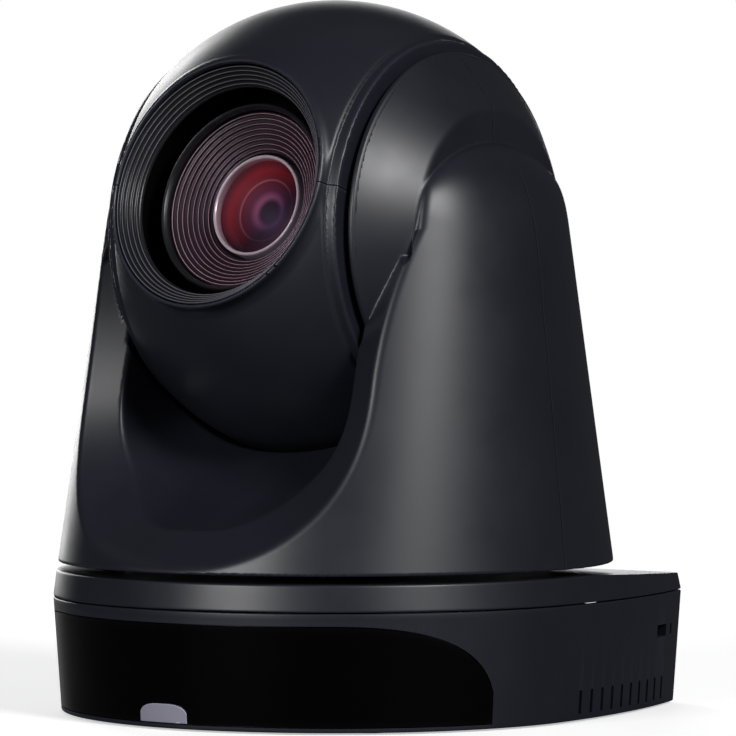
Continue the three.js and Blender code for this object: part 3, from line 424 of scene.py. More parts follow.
CUT_Z = 86  # height where the round floor of both cuts starts
CUT_POWER = 2.6
FRONT_CUT = {"half": 46, "drop": 45.7}
REAR_CUT = {"half": 44, "drop": 30}
CUT_LEAN = 3.4  # how far the cuts widen up to the top of the trunk
BAND = 9.3  # width of the bevelled band round a cut
BAND_DEPTH = 9
BOWL_START = 61  # distance of the bowl's front edge from the pan axis
BOWL_END = 8
BOWL_ROOF = 9  # how far the bowl's floor stays below the start of the cut
BOWL_RISE = 0.6  # slope of the bowl's floor under the head
BOWL_FLAT = 8  # depth over which the floor starts to climb
TRUNK_TOP = 118  # height where the trunk has sunk into the domes
TRUNK_FADE = 1.6  # slope of the trunk's outside where it sinks into them
ARM_FLANK = 3  # slope of the arms' inner flanks, rising from the domes
SHOULDER_Z = 109.5  # centre of the shoulders' round tops
SHOULDER_RADIUS = 37.2
SHOULDER_REACH = 16.5  # how far the shoulders stand out from the domes
SHOULDER_WIDENING = 1.12  # depth of a shoulder from front to back, as a share of its height
SHOULDER_POWER = 1.6
SHOULDER_SPREAD = 8  # depth over which the arms start to widen below the shoulders
ARM_OVERLAP = 1.2  # how far the arms reach into the domes' ledges
HEAD_CLEARANCE = 1.3
DOME_SLOPE = 1.15  # how fast the domes narrow outwards, just outside their rounded rims
DOME_CROWN = 0.014  # how much that slope grows outwards
RIM_DEPTH = 1.6  # width of the bright rim next to the head
RIM_RADIUS = 45.6


def yoke_skin(x, y, z):
    """The tapered trunk."""
    half_x = YOKE_RADIUS - TAPER_X * (z - YOKE_BOTTOM)
    half_y = YOKE_RADIUS - TAPER_Y * (z - YOKE_BOTTOM)
    return superellipse(x, y, half_x, half_y, 2)


def yoke_cut(x, y, z, skin):
    """The open space before and behind the head: a bevelled band, then a bowl that rises."""
    front = y < 0
    half = np.where(front, FRONT_CUT["half"], REAR_CUT["half"])
    drop = np.where(front, FRONT_CUT["drop"], REAR_CUT["drop"])
    lean = CUT_LEAN * np.clip((z - CUT_Z) / (TRUNK_TOP - CUT_Z), 0, 1.2) ** 2
    below = np.minimum(z - CUT_Z, 0)
    outline = superellipse(x, below, half + lean, drop, CUT_POWER)
    slope = BAND / BAND_DEPTH
    band = (outline - slope * skin) / math.hypot(1, slope)
    into = np.clip(BOWL_START - np.abs(y), 0, BOWL_START - BOWL_END)
    climb = BOWL_RISE * into * into / (into + BOWL_FLAT)
    floor = np.minimum(CUT_Z - drop + BAND + climb, CUT_Z - BOWL_ROOF)
    bowl = superellipse(x, below, half - BAND, CUT_Z - floor, CUT_POWER)
    bowl = blend_max(bowl, BOWL_END - np.abs(y), 1)
    return blend_min(band, bowl, 0.9)


def dome_radius(aside):
    """Radius of the domes at a distance from the middle: nearly a cone."""
    past = aside - ARM_INNER_X - RIM_DEPTH
    return RIM_RADIUS - 0.4 - DOME_SLOPE * past - DOME_CROWN * past * past


def yoke_form(x, y, z):
    """The yoke's solid outer form without its flat bottom."""
    skin = yoke_skin(x, y, z)
    aside = np.abs(x)
    up = z - TILT_Z
    over = np.maximum(z - SHOULDER_Z, 0)
    under = np.maximum(SHOULDER_Z - z, 0)
    spread = under * under / (under + SHOULDER_SPREAD)
    out = np.maximum(aside - LEDGE_X, 0)
    radius = SHOULDER_RADIUS + 0.8 * spread
    reach = SHOULDER_REACH + 0.25 * spread
    arch = superellipse(np.hypot(y / SHOULDER_WIDENING, over), out, radius, reach, SHOULDER_POWER)
    inwards = np.maximum(LEDGE_X - ARM_OVERLAP - aside, 0)
    outwards = np.maximum(aside - LEDGE_X + ARM_OVERLAP, 0)
    off_axis = np.hypot(y, up)
    cone = (off_axis - dome_radius(aside)) / math.hypot(1, DOME_SLOPE)
    proud = TRUNK_FADE * np.maximum(TRUNK_TOP - z, 0) + ARM_FLANK * outwards
    form = blend_max(skin, arch - 2 * inwards, 3)
    form = blend_max(form, cone - proud, 0.8)
    from_centre = np.sqrt(x * x + y * y + up * up)
    cavity = blend_max(from_centre - HEAD_RADIUS - HEAD_CLEARANCE, aside - ARM_INNER_X, 0.6)
    form = blend_max(form, -yoke_cut(x, y, z, skin), 1.1)
    form = blend_max(form, -cavity, 0.8)
    seat = off_axis - RIM_RADIUS + 1 - np.maximum(aside - ARM_INNER_X - RIM_DEPTH, 0)
    dome = np.maximum(np.maximum(cone, ARM_INNER_X + 0.3 - aside), seat)
    dome = blend_max(dome, aside - LEDGE_X, 0.7)
    return blend_min(form, dome, 0.6)


def yoke_shell(x, y, z):
    """The yoke's covers: a thin wall, open below and bored for the tilt shafts."""
    form = yoke_form(x, y, z)
    shell = blend_max(form, YOKE_BOTTOM - z, 0.9)
    shell = blend_max(shell, -(form + WALL), 0.4)
    bore = np.maximum(np.hypot(y, z - TILT_Z) - SHAFT_HOLE, np.abs(x) - LEDGE_X + 4)
    return blend_max(shell, -bore, 0.4)


YOKE_CELL = 0.8
YOKE_RISE = 50  # the yoke ends less than this far above the tilt axis


def build_yoke():
    reach = YOKE_RADIUS + 1
    low = [-reach, -reach, YOKE_BOTTOM - 1]
    high = [reach, reach, TILT_Z + YOKE_RISE]
    points, quads = mould(yoke_shell, low, high, YOKE_CELL)
    for side, name in ((-1, "front"), (1, "rear")):
        at = side * GAP / 2
        cover = moulded_half(f"yoke_{name}_skin", yoke_shell, points, quads, 1, side, at)
        finish_piece(cover, "yoke", "shell", PLASTIC, f"yoke_{name}_cover")


def build_dome_rims():
    """A chamfer round the inner edge of each dome."""
    start = ARM_INNER_X
    end = start + RIM_DEPTH
    outline = [(RIM_RADIUS, start + 0.7), (RIM_RADIUS - 0.1, end), (dome_radius(end + 0.5), end + 0.5)]
    outline += [(RIM_RADIUS - 3, end + 0.5), (RIM_RADIUS - 3, start), (RIM_RADIUS - 0.6, start)]
    for side in (-1, 1):
        profile = [(radius, side * along) for radius, along in outline]
        rim = turn("dome_rim", softened(profile, 0.25, closed=True), 240)
        place(rim, Matrix.Translation((0, 0, TILT_Z)) @ Matrix.Rotation(math.pi / 2, 4, "Y"))
        finish_piece(crisp(rim, 40), "yoke", "shell", PLASTIC)


# -------- head

COLLAR_RADIUS = 33
COLLAR_FRONT = 51.9
COLLAR_BACK = 30
HOLE_RADIUS = 32
HEAD_CELL = 0.7


def head_form(x, y, z):
    """The head's solid outer form: a ball with flat sides, a collar and a low step on each side."""
    aside = np.abs(x)
    ahead = -y
    skin = np.sqrt(x * x + y * y + z * z) - HEAD_RADIUS
    off_lens = np.hypot(x, z + LENS_DROP)
    collar = blend_max(off_lens - COLLAR_RADIUS, ahead - COLLAR_FRONT, 0.8)
    collar = blend_max(collar, COLLAR_BACK - ahead, 1)
    form = blend_max(blend_min(skin, collar, 1.6), aside - HEAD_SIDE_X, 0.7)
    edge = math.sqrt(HEAD_RADIUS**2 - HEAD_SIDE_X**2)
    past_skin = np.maximum(aside - HEAD_SIDE_X, -0.5)
    band = np.hypot(y, z) - (edge - 0.9) + 0.15 * past_skin
    band = blend_max(band, aside - HEAD_FACE_X, 0.5)
    return blend_min(form, band, 0.4)


def head_shell(x, y, z):
    """The head's skin in the head's own frame."""
    form = head_form(x, y, z)
    shell = blend_max(form, -(form + WALL), 0.4)
    off_lens = np.hypot(x, z + LENS_DROP)
    hole = np.maximum(off_lens - HOLE_RADIUS, y)
    shell = blend_max(shell, -hole, 0.7)
    return blend_max(shell, SHAFT_HOLE - np.hypot(y, z), 0.4)


def build_head_shells():
    reach = HEAD_RADIUS + 1
    low = [-HEAD_FACE_X - 1, -reach, -reach]
    high = [HEAD_FACE_X + 1, reach, reach]
    points, quads = mould(head_shell, low, high, HEAD_CELL)
    for side, name in ((1, "upper"), (-1, "lower")):
        at = side * GAP / 2 - LENS_DROP
        shell = moulded_half(f"head_{name}_skin", head_shell, points, quads, 2, side, at)
        place(shell, HEAD_PLACE)
        finish_piece(shell, "head", "shell", PLASTIC, f"head_{name}_shell")


# -------- lens

RIBS = {"outer": HOLE_RADIUS - GAP, "front": 51.2, "pitch": 0.82, "fall": 0.95, "count": 5}
BAFFLE_RINGS = {"outer": 23.3, "front": 39.2, "pitch": 1.1125, "fall": 0.725, "count": 8}
GROOVE_DEPTH = 0.9
LIP_HEIGHT = 0.35
LIT_SHARE = 0.36  # how far along each step its lit edge lies
BEZEL_BACK = 36

PUPIL_DEPTH = 28  # distance of the deep lens's middle ahead of the tilt axis
PUPIL_BOWL = 4.2  # how far its rim lies ahead of its middle
ELEMENT_RADIUS = 12.5
SEAT_RADIUS = 12.6  # inside of the retaining ring


def stepped(outer, front, pitch, fall, count, flat, groove, lip):
    """Steps that go down towards the axis: each is a flat, a groove and a raised lip."""
    profile = [(outer, front)]
    for k in range(count):
        radius = outer - k * pitch
        level = front - k * fall
        profile += [(radius - flat * pitch, level), (radius - groove * pitch, level - GROOVE_DEPTH)]
        radius -= pitch
        level -= fall
        profile += [(radius + lip, level - LIP_HEIGHT), (radius, level)]
    return profile


def ribbed_profile():
    """The bezel's ribs, then its back."""
    steps = stepped(**RIBS, flat=0.36, groove=0.5, lip=0.08)
    outer, (inner, low) = steps[0][0], steps[-1]
    back = outer - 0.6
    ending = [(inner, low - 0.8), (back, low - 2.4), (back, BEZEL_BACK)]
    return [(outer, BEZEL_BACK)] + steps + ending


def baffle_profile():
    """Fine rings that step down from the barrel's rim to the retaining ring."""
    steps = stepped(**BAFFLE_RINGS, flat=0.28, groove=0.34, lip=0.05)
    outer, (inner, low) = steps[0][0], steps[-1]
    return [(outer, low - 6)] + steps + [(inner, low - 8)]


def lens_face(radius, curve, apex, steps=24):
    """A convex glass face from its rim to the axis."""
    radii = radius * (1 - np.arange(steps + 1) / steps)
    return [(r, apex - curve + math.sqrt(curve**2 - r**2)) for r in radii]


def bead_rings(name, spots, thickness, material):
    """Fine bright edges round the lens axis, one at each [radius, height] spot: thin rings in a paler finish that
    are painted highlights.
    """
    section = thickness * circle(np.arange(6) * math.pi / 3)
    rings = [place(turn(name, np.array(spot) + section, 200), LENS_PLACE) for spot in spots]
    finish_piece(joined(name, rings), "head", "black_trim", material)


def lit_spots(outer, front, pitch, fall, count):
    """The lit edge of each step, where a painted highlight ring goes."""
    return [(outer - (k + LIT_SHARE) * pitch, front - k * fall) for k in range(count)]


def build_bezel():
    bead_rings("bezel_rib_edges", lit_spots(**RIBS), 0.11, RIB_EDGE)
    bead_rings("baffle_ring_edges", lit_spots(**BAFFLE_RINGS), 0.07, BAFFLE_EDGE)
    bezel = turn_on_lens("lens_bezel_ribs", ribbed_profile(), 0.12, turns=200)
    finish_piece(bezel, "head", "black_trim", BEZEL, "lens_bezel")


def build_barrel():
    bore, outside, back, front = 23.7, 25.1, 15, 41.5
    rim = [(outside, front - 0.5), (outside - 0.5, front), (bore + 0.4, front - 0.4)]
    tube = [(bore, back), (outside, back)] + rim + [(bore, front - 1.2)]
    barrel = turn_on_lens("lens_barrel_tube", tube, 0.12)
    finish_piece(barrel, "head", "black_trim", BARREL, "lens_barrel")
    baffle = turn_on_lens("lens_baffle_rings", baffle_profile(), 0.08, turns=200)
    finish_piece(baffle, "head", "black_trim", BAFFLE, "lens_baffle")


def glass_disc(name, radius, curve, apex, thickness, angle=32):
    """A curved glass of even thickness."""
    face = lens_face(radius, curve, apex)
    back = [(r, h - thickness) for r, h in reversed(face)]
    return turn_on_lens(name, back + face, 0.05, closed=False, angle=angle)


def build_glass():
    cover = glass_disc("front_glass_disc", 23.4, 62, 44, 1.6)
    finish_piece(cover, "head", "coated_glass", COVER_GLASS, "front_glass")

    outside, back, front = 13.5, 28, 34.5
    band = [(SEAT_RADIUS, back), (outside, back), (outside, front - 0.4), (outside - 0.2, front)]
    band += [(SEAT_RADIUS + 0.3, front), (SEAT_RADIUS, front - 0.4)]
    ring = turn_on_lens("retaining_ring_band", band, 0.1)
    finish_piece(ring, "head", "silver", SILVER, "retaining_ring")

    element = glass_disc("inner_element_dome", ELEMENT_RADIUS, 22, 36.6, 0.8, angle=60)
    finish_piece(element, "head", "coated_glass", COVER_GLASS, "inner_element")

    steps = 20
    bowl = [(0, PUPIL_DEPTH - 1), (SEAT_RADIUS, 31.4)]
    for k in range(steps, -1, -1):
        bowl.append((SEAT_RADIUS * k / steps, PUPIL_DEPTH + PUPIL_BOWL * (k / steps) ** 2))
    deep_lens = turn_on_lens("deep_lens_bowl", bowl, 0.05, closed=False, angle=60)
    finish_piece(deep_lens, "head", "coated_glass", ELEMENT_GLASS)


def build_recess():
    """The dark tube between the bezel and the barrel: a near-black, unreflecting sheet of painted shade in the
    recess.
    """
    inside, outside, back, front = 25.3, 31.3, 29, 47
    wall = outside - 0.3
    tube = [(inside, back), (outside, back), (outside, front), (wall, front)]
    tube += [(wall, back + 2), (inside, back + 2)]
    finish_piece(turn_on_lens("lens_recess_liner", tube), "head", "black_trim", SHADE_FINISH)


# -------- base

SIDE_RADIUS = 216  # curve of the base's sides, behind its round front
CORNER_RADIUS = 7
BASE_DRAFT = 2.1  # how far the housing's foot lies inside its top edge


def plan_points(inset, front_steps=150, side_steps=36, corner_steps=14):
    """The base's outline seen from above."""
    radius = BASE_RADIUS - inset
    side = SIDE_RADIUS - inset
    corner = max(CORNER_RADIUS - inset, 0.5)
    side_centre = radius - side
    corner_y = radius - corner
    corner_x = side_centre + math.sqrt((side - corner) ** 2 - corner_y**2)
    lean = math.atan2(corner_y, corner_x - side_centre)
    arcs = [
        (0, 0, radius, math.pi, 2 * math.pi, front_steps),
        (side_centre, 0, side, 0, lean, side_steps),
        (corner_x, corner_y, corner, lean, math.pi / 2, corner_steps),
        (-corner_x, corner_y, corner, math.pi / 2, math.pi - lean, corner_steps),
        (-side_centre, 0, side, math.pi - lean, math.pi, side_steps),
    ]
    points = []
    for centre_x, centre_y, arc_radius, start, end, steps in arcs:
        angles = start + (end - start) * np.arange(steps) / steps
        points.append(np.array([centre_x, centre_y]) + arc_radius * circle(angles))
    return np.concatenate(points)


def sweep_plan(name, profile, rule=None):
    """A closed profile of [inset, height] points carried round the base's outline."""
    rows = []
    for inset, height in profile:
        outline = plan_points(inset)
        rows.append(np.column_stack([outline, np.full(len(outline), height)]))
    count = len(rows[0])
    points = np.concatenate(rows)
    if rule is not None:
        points = rule(points)
    return face_out(make(name, points, grid_faces(len(rows), count, True, True)))


WINDOW_BOTTOM = 1.9
WINDOW_HEIGHT = 24.7
WINDOW_HALF_ARC = 89.4  # lengths along the base's round front, from its middle
WINDOW_FLAT_ARC = 44
LAMP_HALF_ARC = 7.6
LAMP_HEIGHT = 4.7


def housing_inset(height):
    """How far the housing's wall lies inside the base's outline."""
    return BASE_DRAFT * (1 - (height - BASE_BOTTOM) / (BASE_SEAM - BASE_BOTTOM))


def window_top(arc, grow=0):
    """Height of the window's upper edge along the front's curve."""
    past = np.maximum(np.abs(arc) - WINDOW_FLAT_ARC, 0)
    share = past / (WINDOW_HALF_ARC + grow + 0.8 - WINDOW_FLAT_ARC)
    return WINDOW_BOTTOM + WINDOW_HEIGHT * (1 - share**2.6) ** (1 / 2.6) + grow


def lamp_top(arc, grow=0):
    share = np.minimum(np.abs(arc) / (LAMP_HALF_ARC + grow + 0.3), 1)
    return WINDOW_BOTTOM + LAMP_HEIGHT * (1 - share**3.2) ** (1 / 3.2) + grow


def wrapped(name, half_arc, proud, sunk, bottom, top_rule, grow=0, columns=180, rows=16):
    """A thick panel that follows the round front of the base."""
    arcs = np.linspace(-half_arc, half_arc, columns)
    angles = arcs / BASE_RADIUS
    top = top_rule(arcs, grow)
    layers = []
    for offset in (proud, -sunk):
        for k in range(rows):
            height = bottom + (top - bottom) * k / (rows - 1)
            radius = BASE_RADIUS - housing_inset(height) + offset
            layers.append(np.stack([radius * np.sin(angles), -radius * np.cos(angles), height], 1))
    points = np.concatenate(layers[:rows] + layers[rows:][::-1])
    faces = grid_faces(2 * rows, columns, close_rows=True)
    for column in (0, columns - 1):
        ring = [row * columns + column for row in range(2 * rows)]
        for k in range(rows - 1):
            far = 2 * rows - 1 - k
            faces.append((ring[k], ring[k + 1], ring[far - 1], ring[far]))
    return face_out(make(name, points, faces))


def block(name, low, high):
    """A box given by its corners."""
    spans = list(zip(low, high))
    corners = np.array([(x, y, z) for x in spans[0] for y in spans[1] for z in spans[2]])
    faces = [(0, 1, 3, 2), (4, 6, 7, 5), (0, 4, 5, 1), (2, 3, 7, 6), (0, 2, 6, 4), (1, 5, 7, 3)]
    return face_out(make(name, corners, faces))


def joined(name, pieces):
    """One object from several that don't touch."""
    mesh = bpy.data.meshes.new(name)

    def gather(shape):
        for piece in pieces:
            shape.from_mesh(piece.data)
            bpy.data.objects.remove(piece)

    edited(mesh, gather)
    return added(name, mesh)


def slot_cutter(x_reach, y, width, bottom, top):
    """An upright slot through a side wall, round at its top."""
    half = width / 2
    angles = np.linspace(0, math.pi, 9)
    outline = [(y + half, bottom)]
    outline += [(y + half * math.cos(a), top - half + half * math.sin(a)) for a in angles]
    outline += [(y - half, bottom)]
    points = [(x, *spot) for x in x_reach for spot in outline]
    count = len(outline)
    faces = [tuple(range(count)), tuple(range(2 * count - 1, count - 1, -1))]
    faces += [(k, count + k, count + (k + 1) % count, (k + 1) % count) for k in range(count)]
    return face_out(make("slot", points, faces))


VENT_COUNT = 10
VENT_FIRST_Y = 7
VENT_PITCH = 5.45
VENT_WIDTH = 1.3
VENT_TOP = 8.2
VENT_BOTTOM = 2.1
INSIDE_X = 48  # the cutters of the side walls start inside the base
OUTSIDE_X = 90  # and end outside it
LOCK_SLOT = ((51, 18.6), (58, 21.8))
RESET_HOLE = ((61.2, 18.8), (62.6, 21.6))
RING_START = BASE_SEAM + GAP / 2
RING_SLOPE = math.tan(math.radians(2.6))  # how the top ring falls towards the back
RING_SLOPE_Y = 15
RING_OPENING = 33
RING_LIP = 3.2
RING_LEAN = 0.9


def side_cutters():
    """The vents of both sides, and the lock slot and reset hole of the right side."""
    cutters = []
    for reach in ((INSIDE_X, OUTSIDE_X), (-OUTSIDE_X, -INSIDE_X)):
        for k in range(VENT_COUNT):
            y = VENT_FIRST_Y + k * VENT_PITCH + VENT_WIDTH / 2
            cutters.append(slot_cutter(reach, y, VENT_WIDTH, VENT_BOTTOM, VENT_TOP))
    for low, high in (LOCK_SLOT, RESET_HOLE):
        cutters.append(block("hole", (INSIDE_X, *low), (OUTSIDE_X, *high)))
    return joined("side_cutters", cutters)


def build_housing():
    outer = [(housing_inset(h), h) for h in (BASE_BOTTOM, BASE_SEAM - GAP / 2)]
    inner = [(inset + WALL, h) for inset, h in reversed(outer)]
    housing = sweep_plan("housing_shell", softened(outer + inner, 0.4, closed=True, hold=True))
    pocket = wrapped("pocket", WINDOW_HALF_ARC + GAP, 2, 1.5, WINDOW_BOTTOM - GAP, window_top, GAP)
    low, high = low_high("rear_panel")
    doorway = block(
        "doorway",
        (low.x - GAP, low.y - 10, low.z - GAP),
        (high.x + GAP, BASE_RADIUS + 10, high.z + GAP),
    )
    crisp(cut_away(housing, [pocket, side_cutters(), doorway]))
    finish_piece(housing, "base", "shell", PLASTIC, "base_housing")


def falling(points):
    """Lowers the top ring's upper side towards the back."""
    fall = RING_SLOPE * np.maximum(points[:, 1] - RING_SLOPE_Y, 0)
    share = (points[:, 2] - RING_START) / (BASE_TOP - RING_START)
    points[:, 2] -= fall * np.clip(share, 0, 1)
    return points


def build_top_ring():
    under = BASE_TOP - WALL
    profile = [(0, RING_START), (RING_LEAN, BASE_TOP), (RING_OPENING, BASE_TOP)]
    profile += [(RING_OPENING, under), (RING_LIP, under), (RING_LIP, RING_START)]
    rounded = softened(profile, 0.45, closed=True, steps=4, hold=True)
    ring = crisp(sweep_plan("top_ring_shell", rounded, falling), 50)
    finish_piece(ring, "base", "shell", PLASTIC, "base_top_ring")


def build_window():
    panel = wrapped("front_window_panel", WINDOW_HALF_ARC, 0, 1.2, WINDOW_BOTTOM, window_top)
    notch = wrapped("notch", LAMP_HALF_ARC + 0.3, 2, 3, WINDOW_BOTTOM - 2, lamp_top, 0.25, 60)
    crisp(cut_away(panel, [notch]), 40)
    finish_piece(panel, "base", "window_gloss", GLOSS_BLACK, "front_window")
    lamp = wrapped("status_lamp_lens", LAMP_HALF_ARC, 0, 1.2, WINDOW_BOTTOM, lamp_top, 0, 60, 10)
    crisp(bevel(lamp, 0.3, 3, 60), 40)
    finish_piece(lamp, "base", "lamp", LAMP, "status_lamp")


# -------- rear panel, underside

REAR_CONNECTORS = dict.fromkeys(("lan_jack", "hdmi_port", "usb_port"), "connector_metal")
REAR_CONNECTORS.update(dict.fromkeys(("dc_jack", "serial_port", "audio_jack"), "black_trim"))
UNDERSIDE = {"base_plate": "plate_metal", "tripod_insert": "brass"}
for kind, kind_slot in (("foot", "rubber"), ("base_screw", "steel")):
    UNDERSIDE.update({f"{kind}_{number}": kind_slot for number in range(1, 5)})


def eased_copy(node, slot, width):
    """A copy of a CAD piece of the base with its hard edges rounded off."""
    mesh = frame["nodes"][node].data.copy()

    def merge(shape):
        bmesh.ops.remove_doubles(shape, verts=shape.verts, dist=0.001 * MM)
        flat = math.radians(1)
        bmesh.ops.dissolve_limit(shape, angle_limit=flat, verts=shape.verts, edges=shape.edges)

    edited(mesh, merge)
    piece = added(f"{node}_eased", mesh)
    crisp(bevel(piece, width, 2, 40), 30)
    return finish_piece(piece, "base", slot, BY_SLOT[slot], node)


def pin(x, z, radius, near, far):
    """A round pin along +Y with an eased tip."""
    profile = [(0, near), (radius, near), (radius, far - 0.4 * radius), (0.6 * radius, far), (0, far)]
    rod = turn("pin", profile, 20, closed=False)
    return crisp(place(rod, Matrix.Translation((x, 0, z)) @ Matrix.Rotation(-math.pi / 2, 4, "X")))


def socket_space(node):
    """A socket's corners, and the x and z of its middle."""
    low, high = low_high(node)
    return low, high, (low.x + high.x) / 2, (low.z + high.z) / 2


CONTACT_COUNT = 8
SPRING_PITCH = 1.1
SPRING_HALF = 0.22
PIN_CIRCLE = 2.6


def build_contacts():
    """The springs and pins inside the network, power and serial sockets."""
    contacts = []
    low, high, x, z = socket_space("lan_jack")
    top = high.z - 1.2
    for k in range(CONTACT_COUNT):
        at = x + (k - (CONTACT_COUNT - 1) / 2) * SPRING_PITCH
        near = (at - SPRING_HALF, high.y - 9, top - 0.5)
        contacts.append(block("spring", near, (at + SPRING_HALF, high.y - 2.4, top)))

    low, high, x, z = socket_space("dc_jack")
    contacts.append(pin(x, z, 1.0, low.y + 3.2, high.y - 1))

    low, high, x, z = socket_space("serial_port")
    turns = (np.arange(CONTACT_COUNT) + 0.5) / CONTACT_COUNT
    for right, over in PIN_CIRCLE * circle(turns * 2 * math.pi):
        contacts.append(pin(x + right, z + over, 0.4, high.y - 5.8, high.y - 1.5))
    finish_piece(joined("gilded_contacts", contacts), "base", "brass", BRASS)


def build_tongues():
    low, high, x, z = socket_space("hdmi_port")
    near = (low.x + 2.8, low.y + 2.2, z - 0.6)
    tongues = [block("hdmi_tongue", near, (high.x - 2.8, high.y - 1.4, z + 0.6))]
    low, high, x, z = socket_space("usb_port")
    near = (low.x + 2.4, low.y + 2.2, low.z + 3)
    tongues.append(block("usb_tongue", near, (high.x - 2.4, high.y - 1.2, high.z - 3.2)))
    finish_piece(joined("socket_tongues", tongues), "base", "black_trim", BLACK_TRIM)


def build_audio_collar():
    low, high, x, z = socket_space("audio_jack")
    collar = turn("audio_collar", [(1.85, 0.05), (2.5, 0.05), (2.4, 0.35), (1.95, 0.35)], 40)
    place(collar, Matrix.Translation((x, high.y, z)) @ Matrix.Rotation(-math.pi / 2, 4, "X"))
    finish_piece(crisp(collar), "base", "brass", BRASS)


def build_rear():
    """The rear panel with its connectors, and the contacts inside them."""
    eased_copy("rear_panel", "black_trim", 0.2)
    for node, slot in REAR_CONNECTORS.items():
        eased_copy(node, slot, 0.15)
    build_contacts()
    build_tongues()
    build_audio_collar()


def build_underside():
    for node, slot in UNDERSIDE.items():
        eased_copy(node, slot, 0.3 if slot == "rubber" else 0.15)


# -------- materials


def new_material(name):
    material = bpy.data.materials.new(name)
    material.use_nodes = True
    nodes = material.node_tree.nodes
    return material, nodes, material.node_tree.links, nodes["Principled BSDF"]


def noise_node(nodes, links, scale_mm, detail):
    """Noise in object space whose features are about this many millimetres across."""
    where = nodes.new("ShaderNodeTexCoord")
    noise = nodes.new("ShaderNodeTexNoise")
    noise.inputs["Scale"].default_value = 1 / (scale_mm * MM)
    noise.inputs["Detail"].default_value = detail
    noise.inputs["Roughness"].default_value = 0.55
    links.new(where.outputs["Object"], noise.inputs["Vector"])
    return noise.outputs["Fac"]


def remap(nodes, links, source, low, high, to_low, to_high):
    node = nodes.new("ShaderNodeMapRange")
    limits = {"From Min": low, "From Max": high, "To Min": to_low, "To Max": to_high}
    for key, value in limits.items():
        node.inputs[key].default_value = value
    links.new(source, node.inputs["Value"])
    return node.outputs["Result"]


def tint(nodes, links, factor, dark, light):
    ramp = nodes.new("ShaderNodeValToRGB")
    ramp.color_ramp.elements[0].color = (*dark, 1)
    ramp.color_ramp.elements[1].color = (*light, 1)
    links.new(factor, ramp.inputs["Fac"])
    return ramp.outputs["Color"]


def mixed(nodes, links, factor, first, second, blend="MIX"):
    """A colour mixed from two; each value is a number, a colour or a node's output."""
    node = nodes.new("ShaderNodeMix")
    node.data_type = "RGBA"
    node.blend_type = blend
    for key, value in (("Factor", factor), ("A", first), ("B", second)):
        if isinstance(value, bpy.types.NodeSocket):
            links.new(value, node.inputs[key])
        else:
            node.inputs[key].default_value = value
    return node.outputs["Result"]


def surface(name, dark, light, roughness, spread=0.06, grain=0.35, depth=0.01, blotch=18, **sockets):
    """A surface with fine grain, slow changes of colour and gloss, and sharp edges made a little paler as a
    painted highlight.
    """
    material, nodes, links, shader = new_material(name)
    slow = noise_node(nodes, links, blotch, 4)
    fine = noise_node(nodes, links, grain, 2)
    shape = nodes.new("ShaderNodeNewGeometry")
    # Painted highlight: sharp convex edges are mixed towards a paler colour.
    edge_highlight = remap(nodes, links, shape.outputs["Pointiness"], 0.52, 0.6, 0, 0.6)
    pale = (*[min(1, 2.5 * part) for part in light], 1)
    highlit_colour = mixed(nodes, links, edge_highlight, tint(nodes, links, slow, dark, light), pale)
    links.new(highlit_colour, shader.inputs["Base Color"])
    gloss = remap(nodes, links, slow, 0.3, 0.7, roughness - spread, roughness + spread)
    links.new(gloss, shader.inputs["Roughness"])
    bump = nodes.new("ShaderNodeBump")
    bump.inputs["Strength"].default_value = 0.6
    bump.inputs["Distance"].default_value = depth * MM
    links.new(fine, bump.inputs["Height"])
    links.new(bump.outputs["Normal"], shader.inputs["Normal"])
    for socket, value in sockets.items():
        shader.inputs[socket.replace("_", " ")].default_value = value
    return material


def cover_glass():
    """Clear glass with a purple coating: mostly see-through, with a gloss that grows at the rim."""
    material, nodes, links, shader = new_material("coated_cover_glass")
    nodes.remove(shader)
    clear = nodes.new("ShaderNodeBsdfTransparent")
    clear.inputs["Color"].default_value = (0.97, 0.93, 0.96, 1)
    gloss = nodes.new("ShaderNodeBsdfGlossy")
    gloss.inputs["Color"].default_value = (0.75, 0.62, 0.95, 1)
    gloss.inputs["Roughness"].default_value = 0.4
    weight = nodes.new("ShaderNodeLayerWeight")
    weight.inputs["Blend"].default_value = 0.25
    share = remap(nodes, links, weight.outputs["Fresnel"], 0, 1, 0.002, 0.06)
    mix = nodes.new("ShaderNodeMixShader")
    links.new(share, mix.inputs["Fac"])
    links.new(clear.outputs["BSDF"], mix.inputs[1])
    links.new(gloss.outputs["BSDF"], mix.inputs[2])
    links.new(mix.outputs["Shader"], nodes["Material Output"].inputs["Surface"])
    return material


ELEMENT_COLOURS = (  # from the middle of the inner element to its rim: a dark pupil of painted shade, then rings of painted reflection
    (0.0, (0.01, 0.003, 0.014)),
    (0.22, (0.02, 0.006, 0.028)),
    (0.33, (0.34, 0.18, 0.33)),
    (0.46, (0.12, 0.035, 0.08)),
    (0.64, (0.11, 0.02, 0.035)),
    (0.67, (0.34, 0.16, 0.17)),
    (0.7, (0.14, 0.02, 0.03)),
    (0.88, (0.22, 0.022, 0.022)),
    (1.0, (0.1, 0.012, 0.018)),
)
REFLECTION_SIDE = (-0.75, 0, 0.66)  # a painted reddish reflection brightens the upper left of the lens
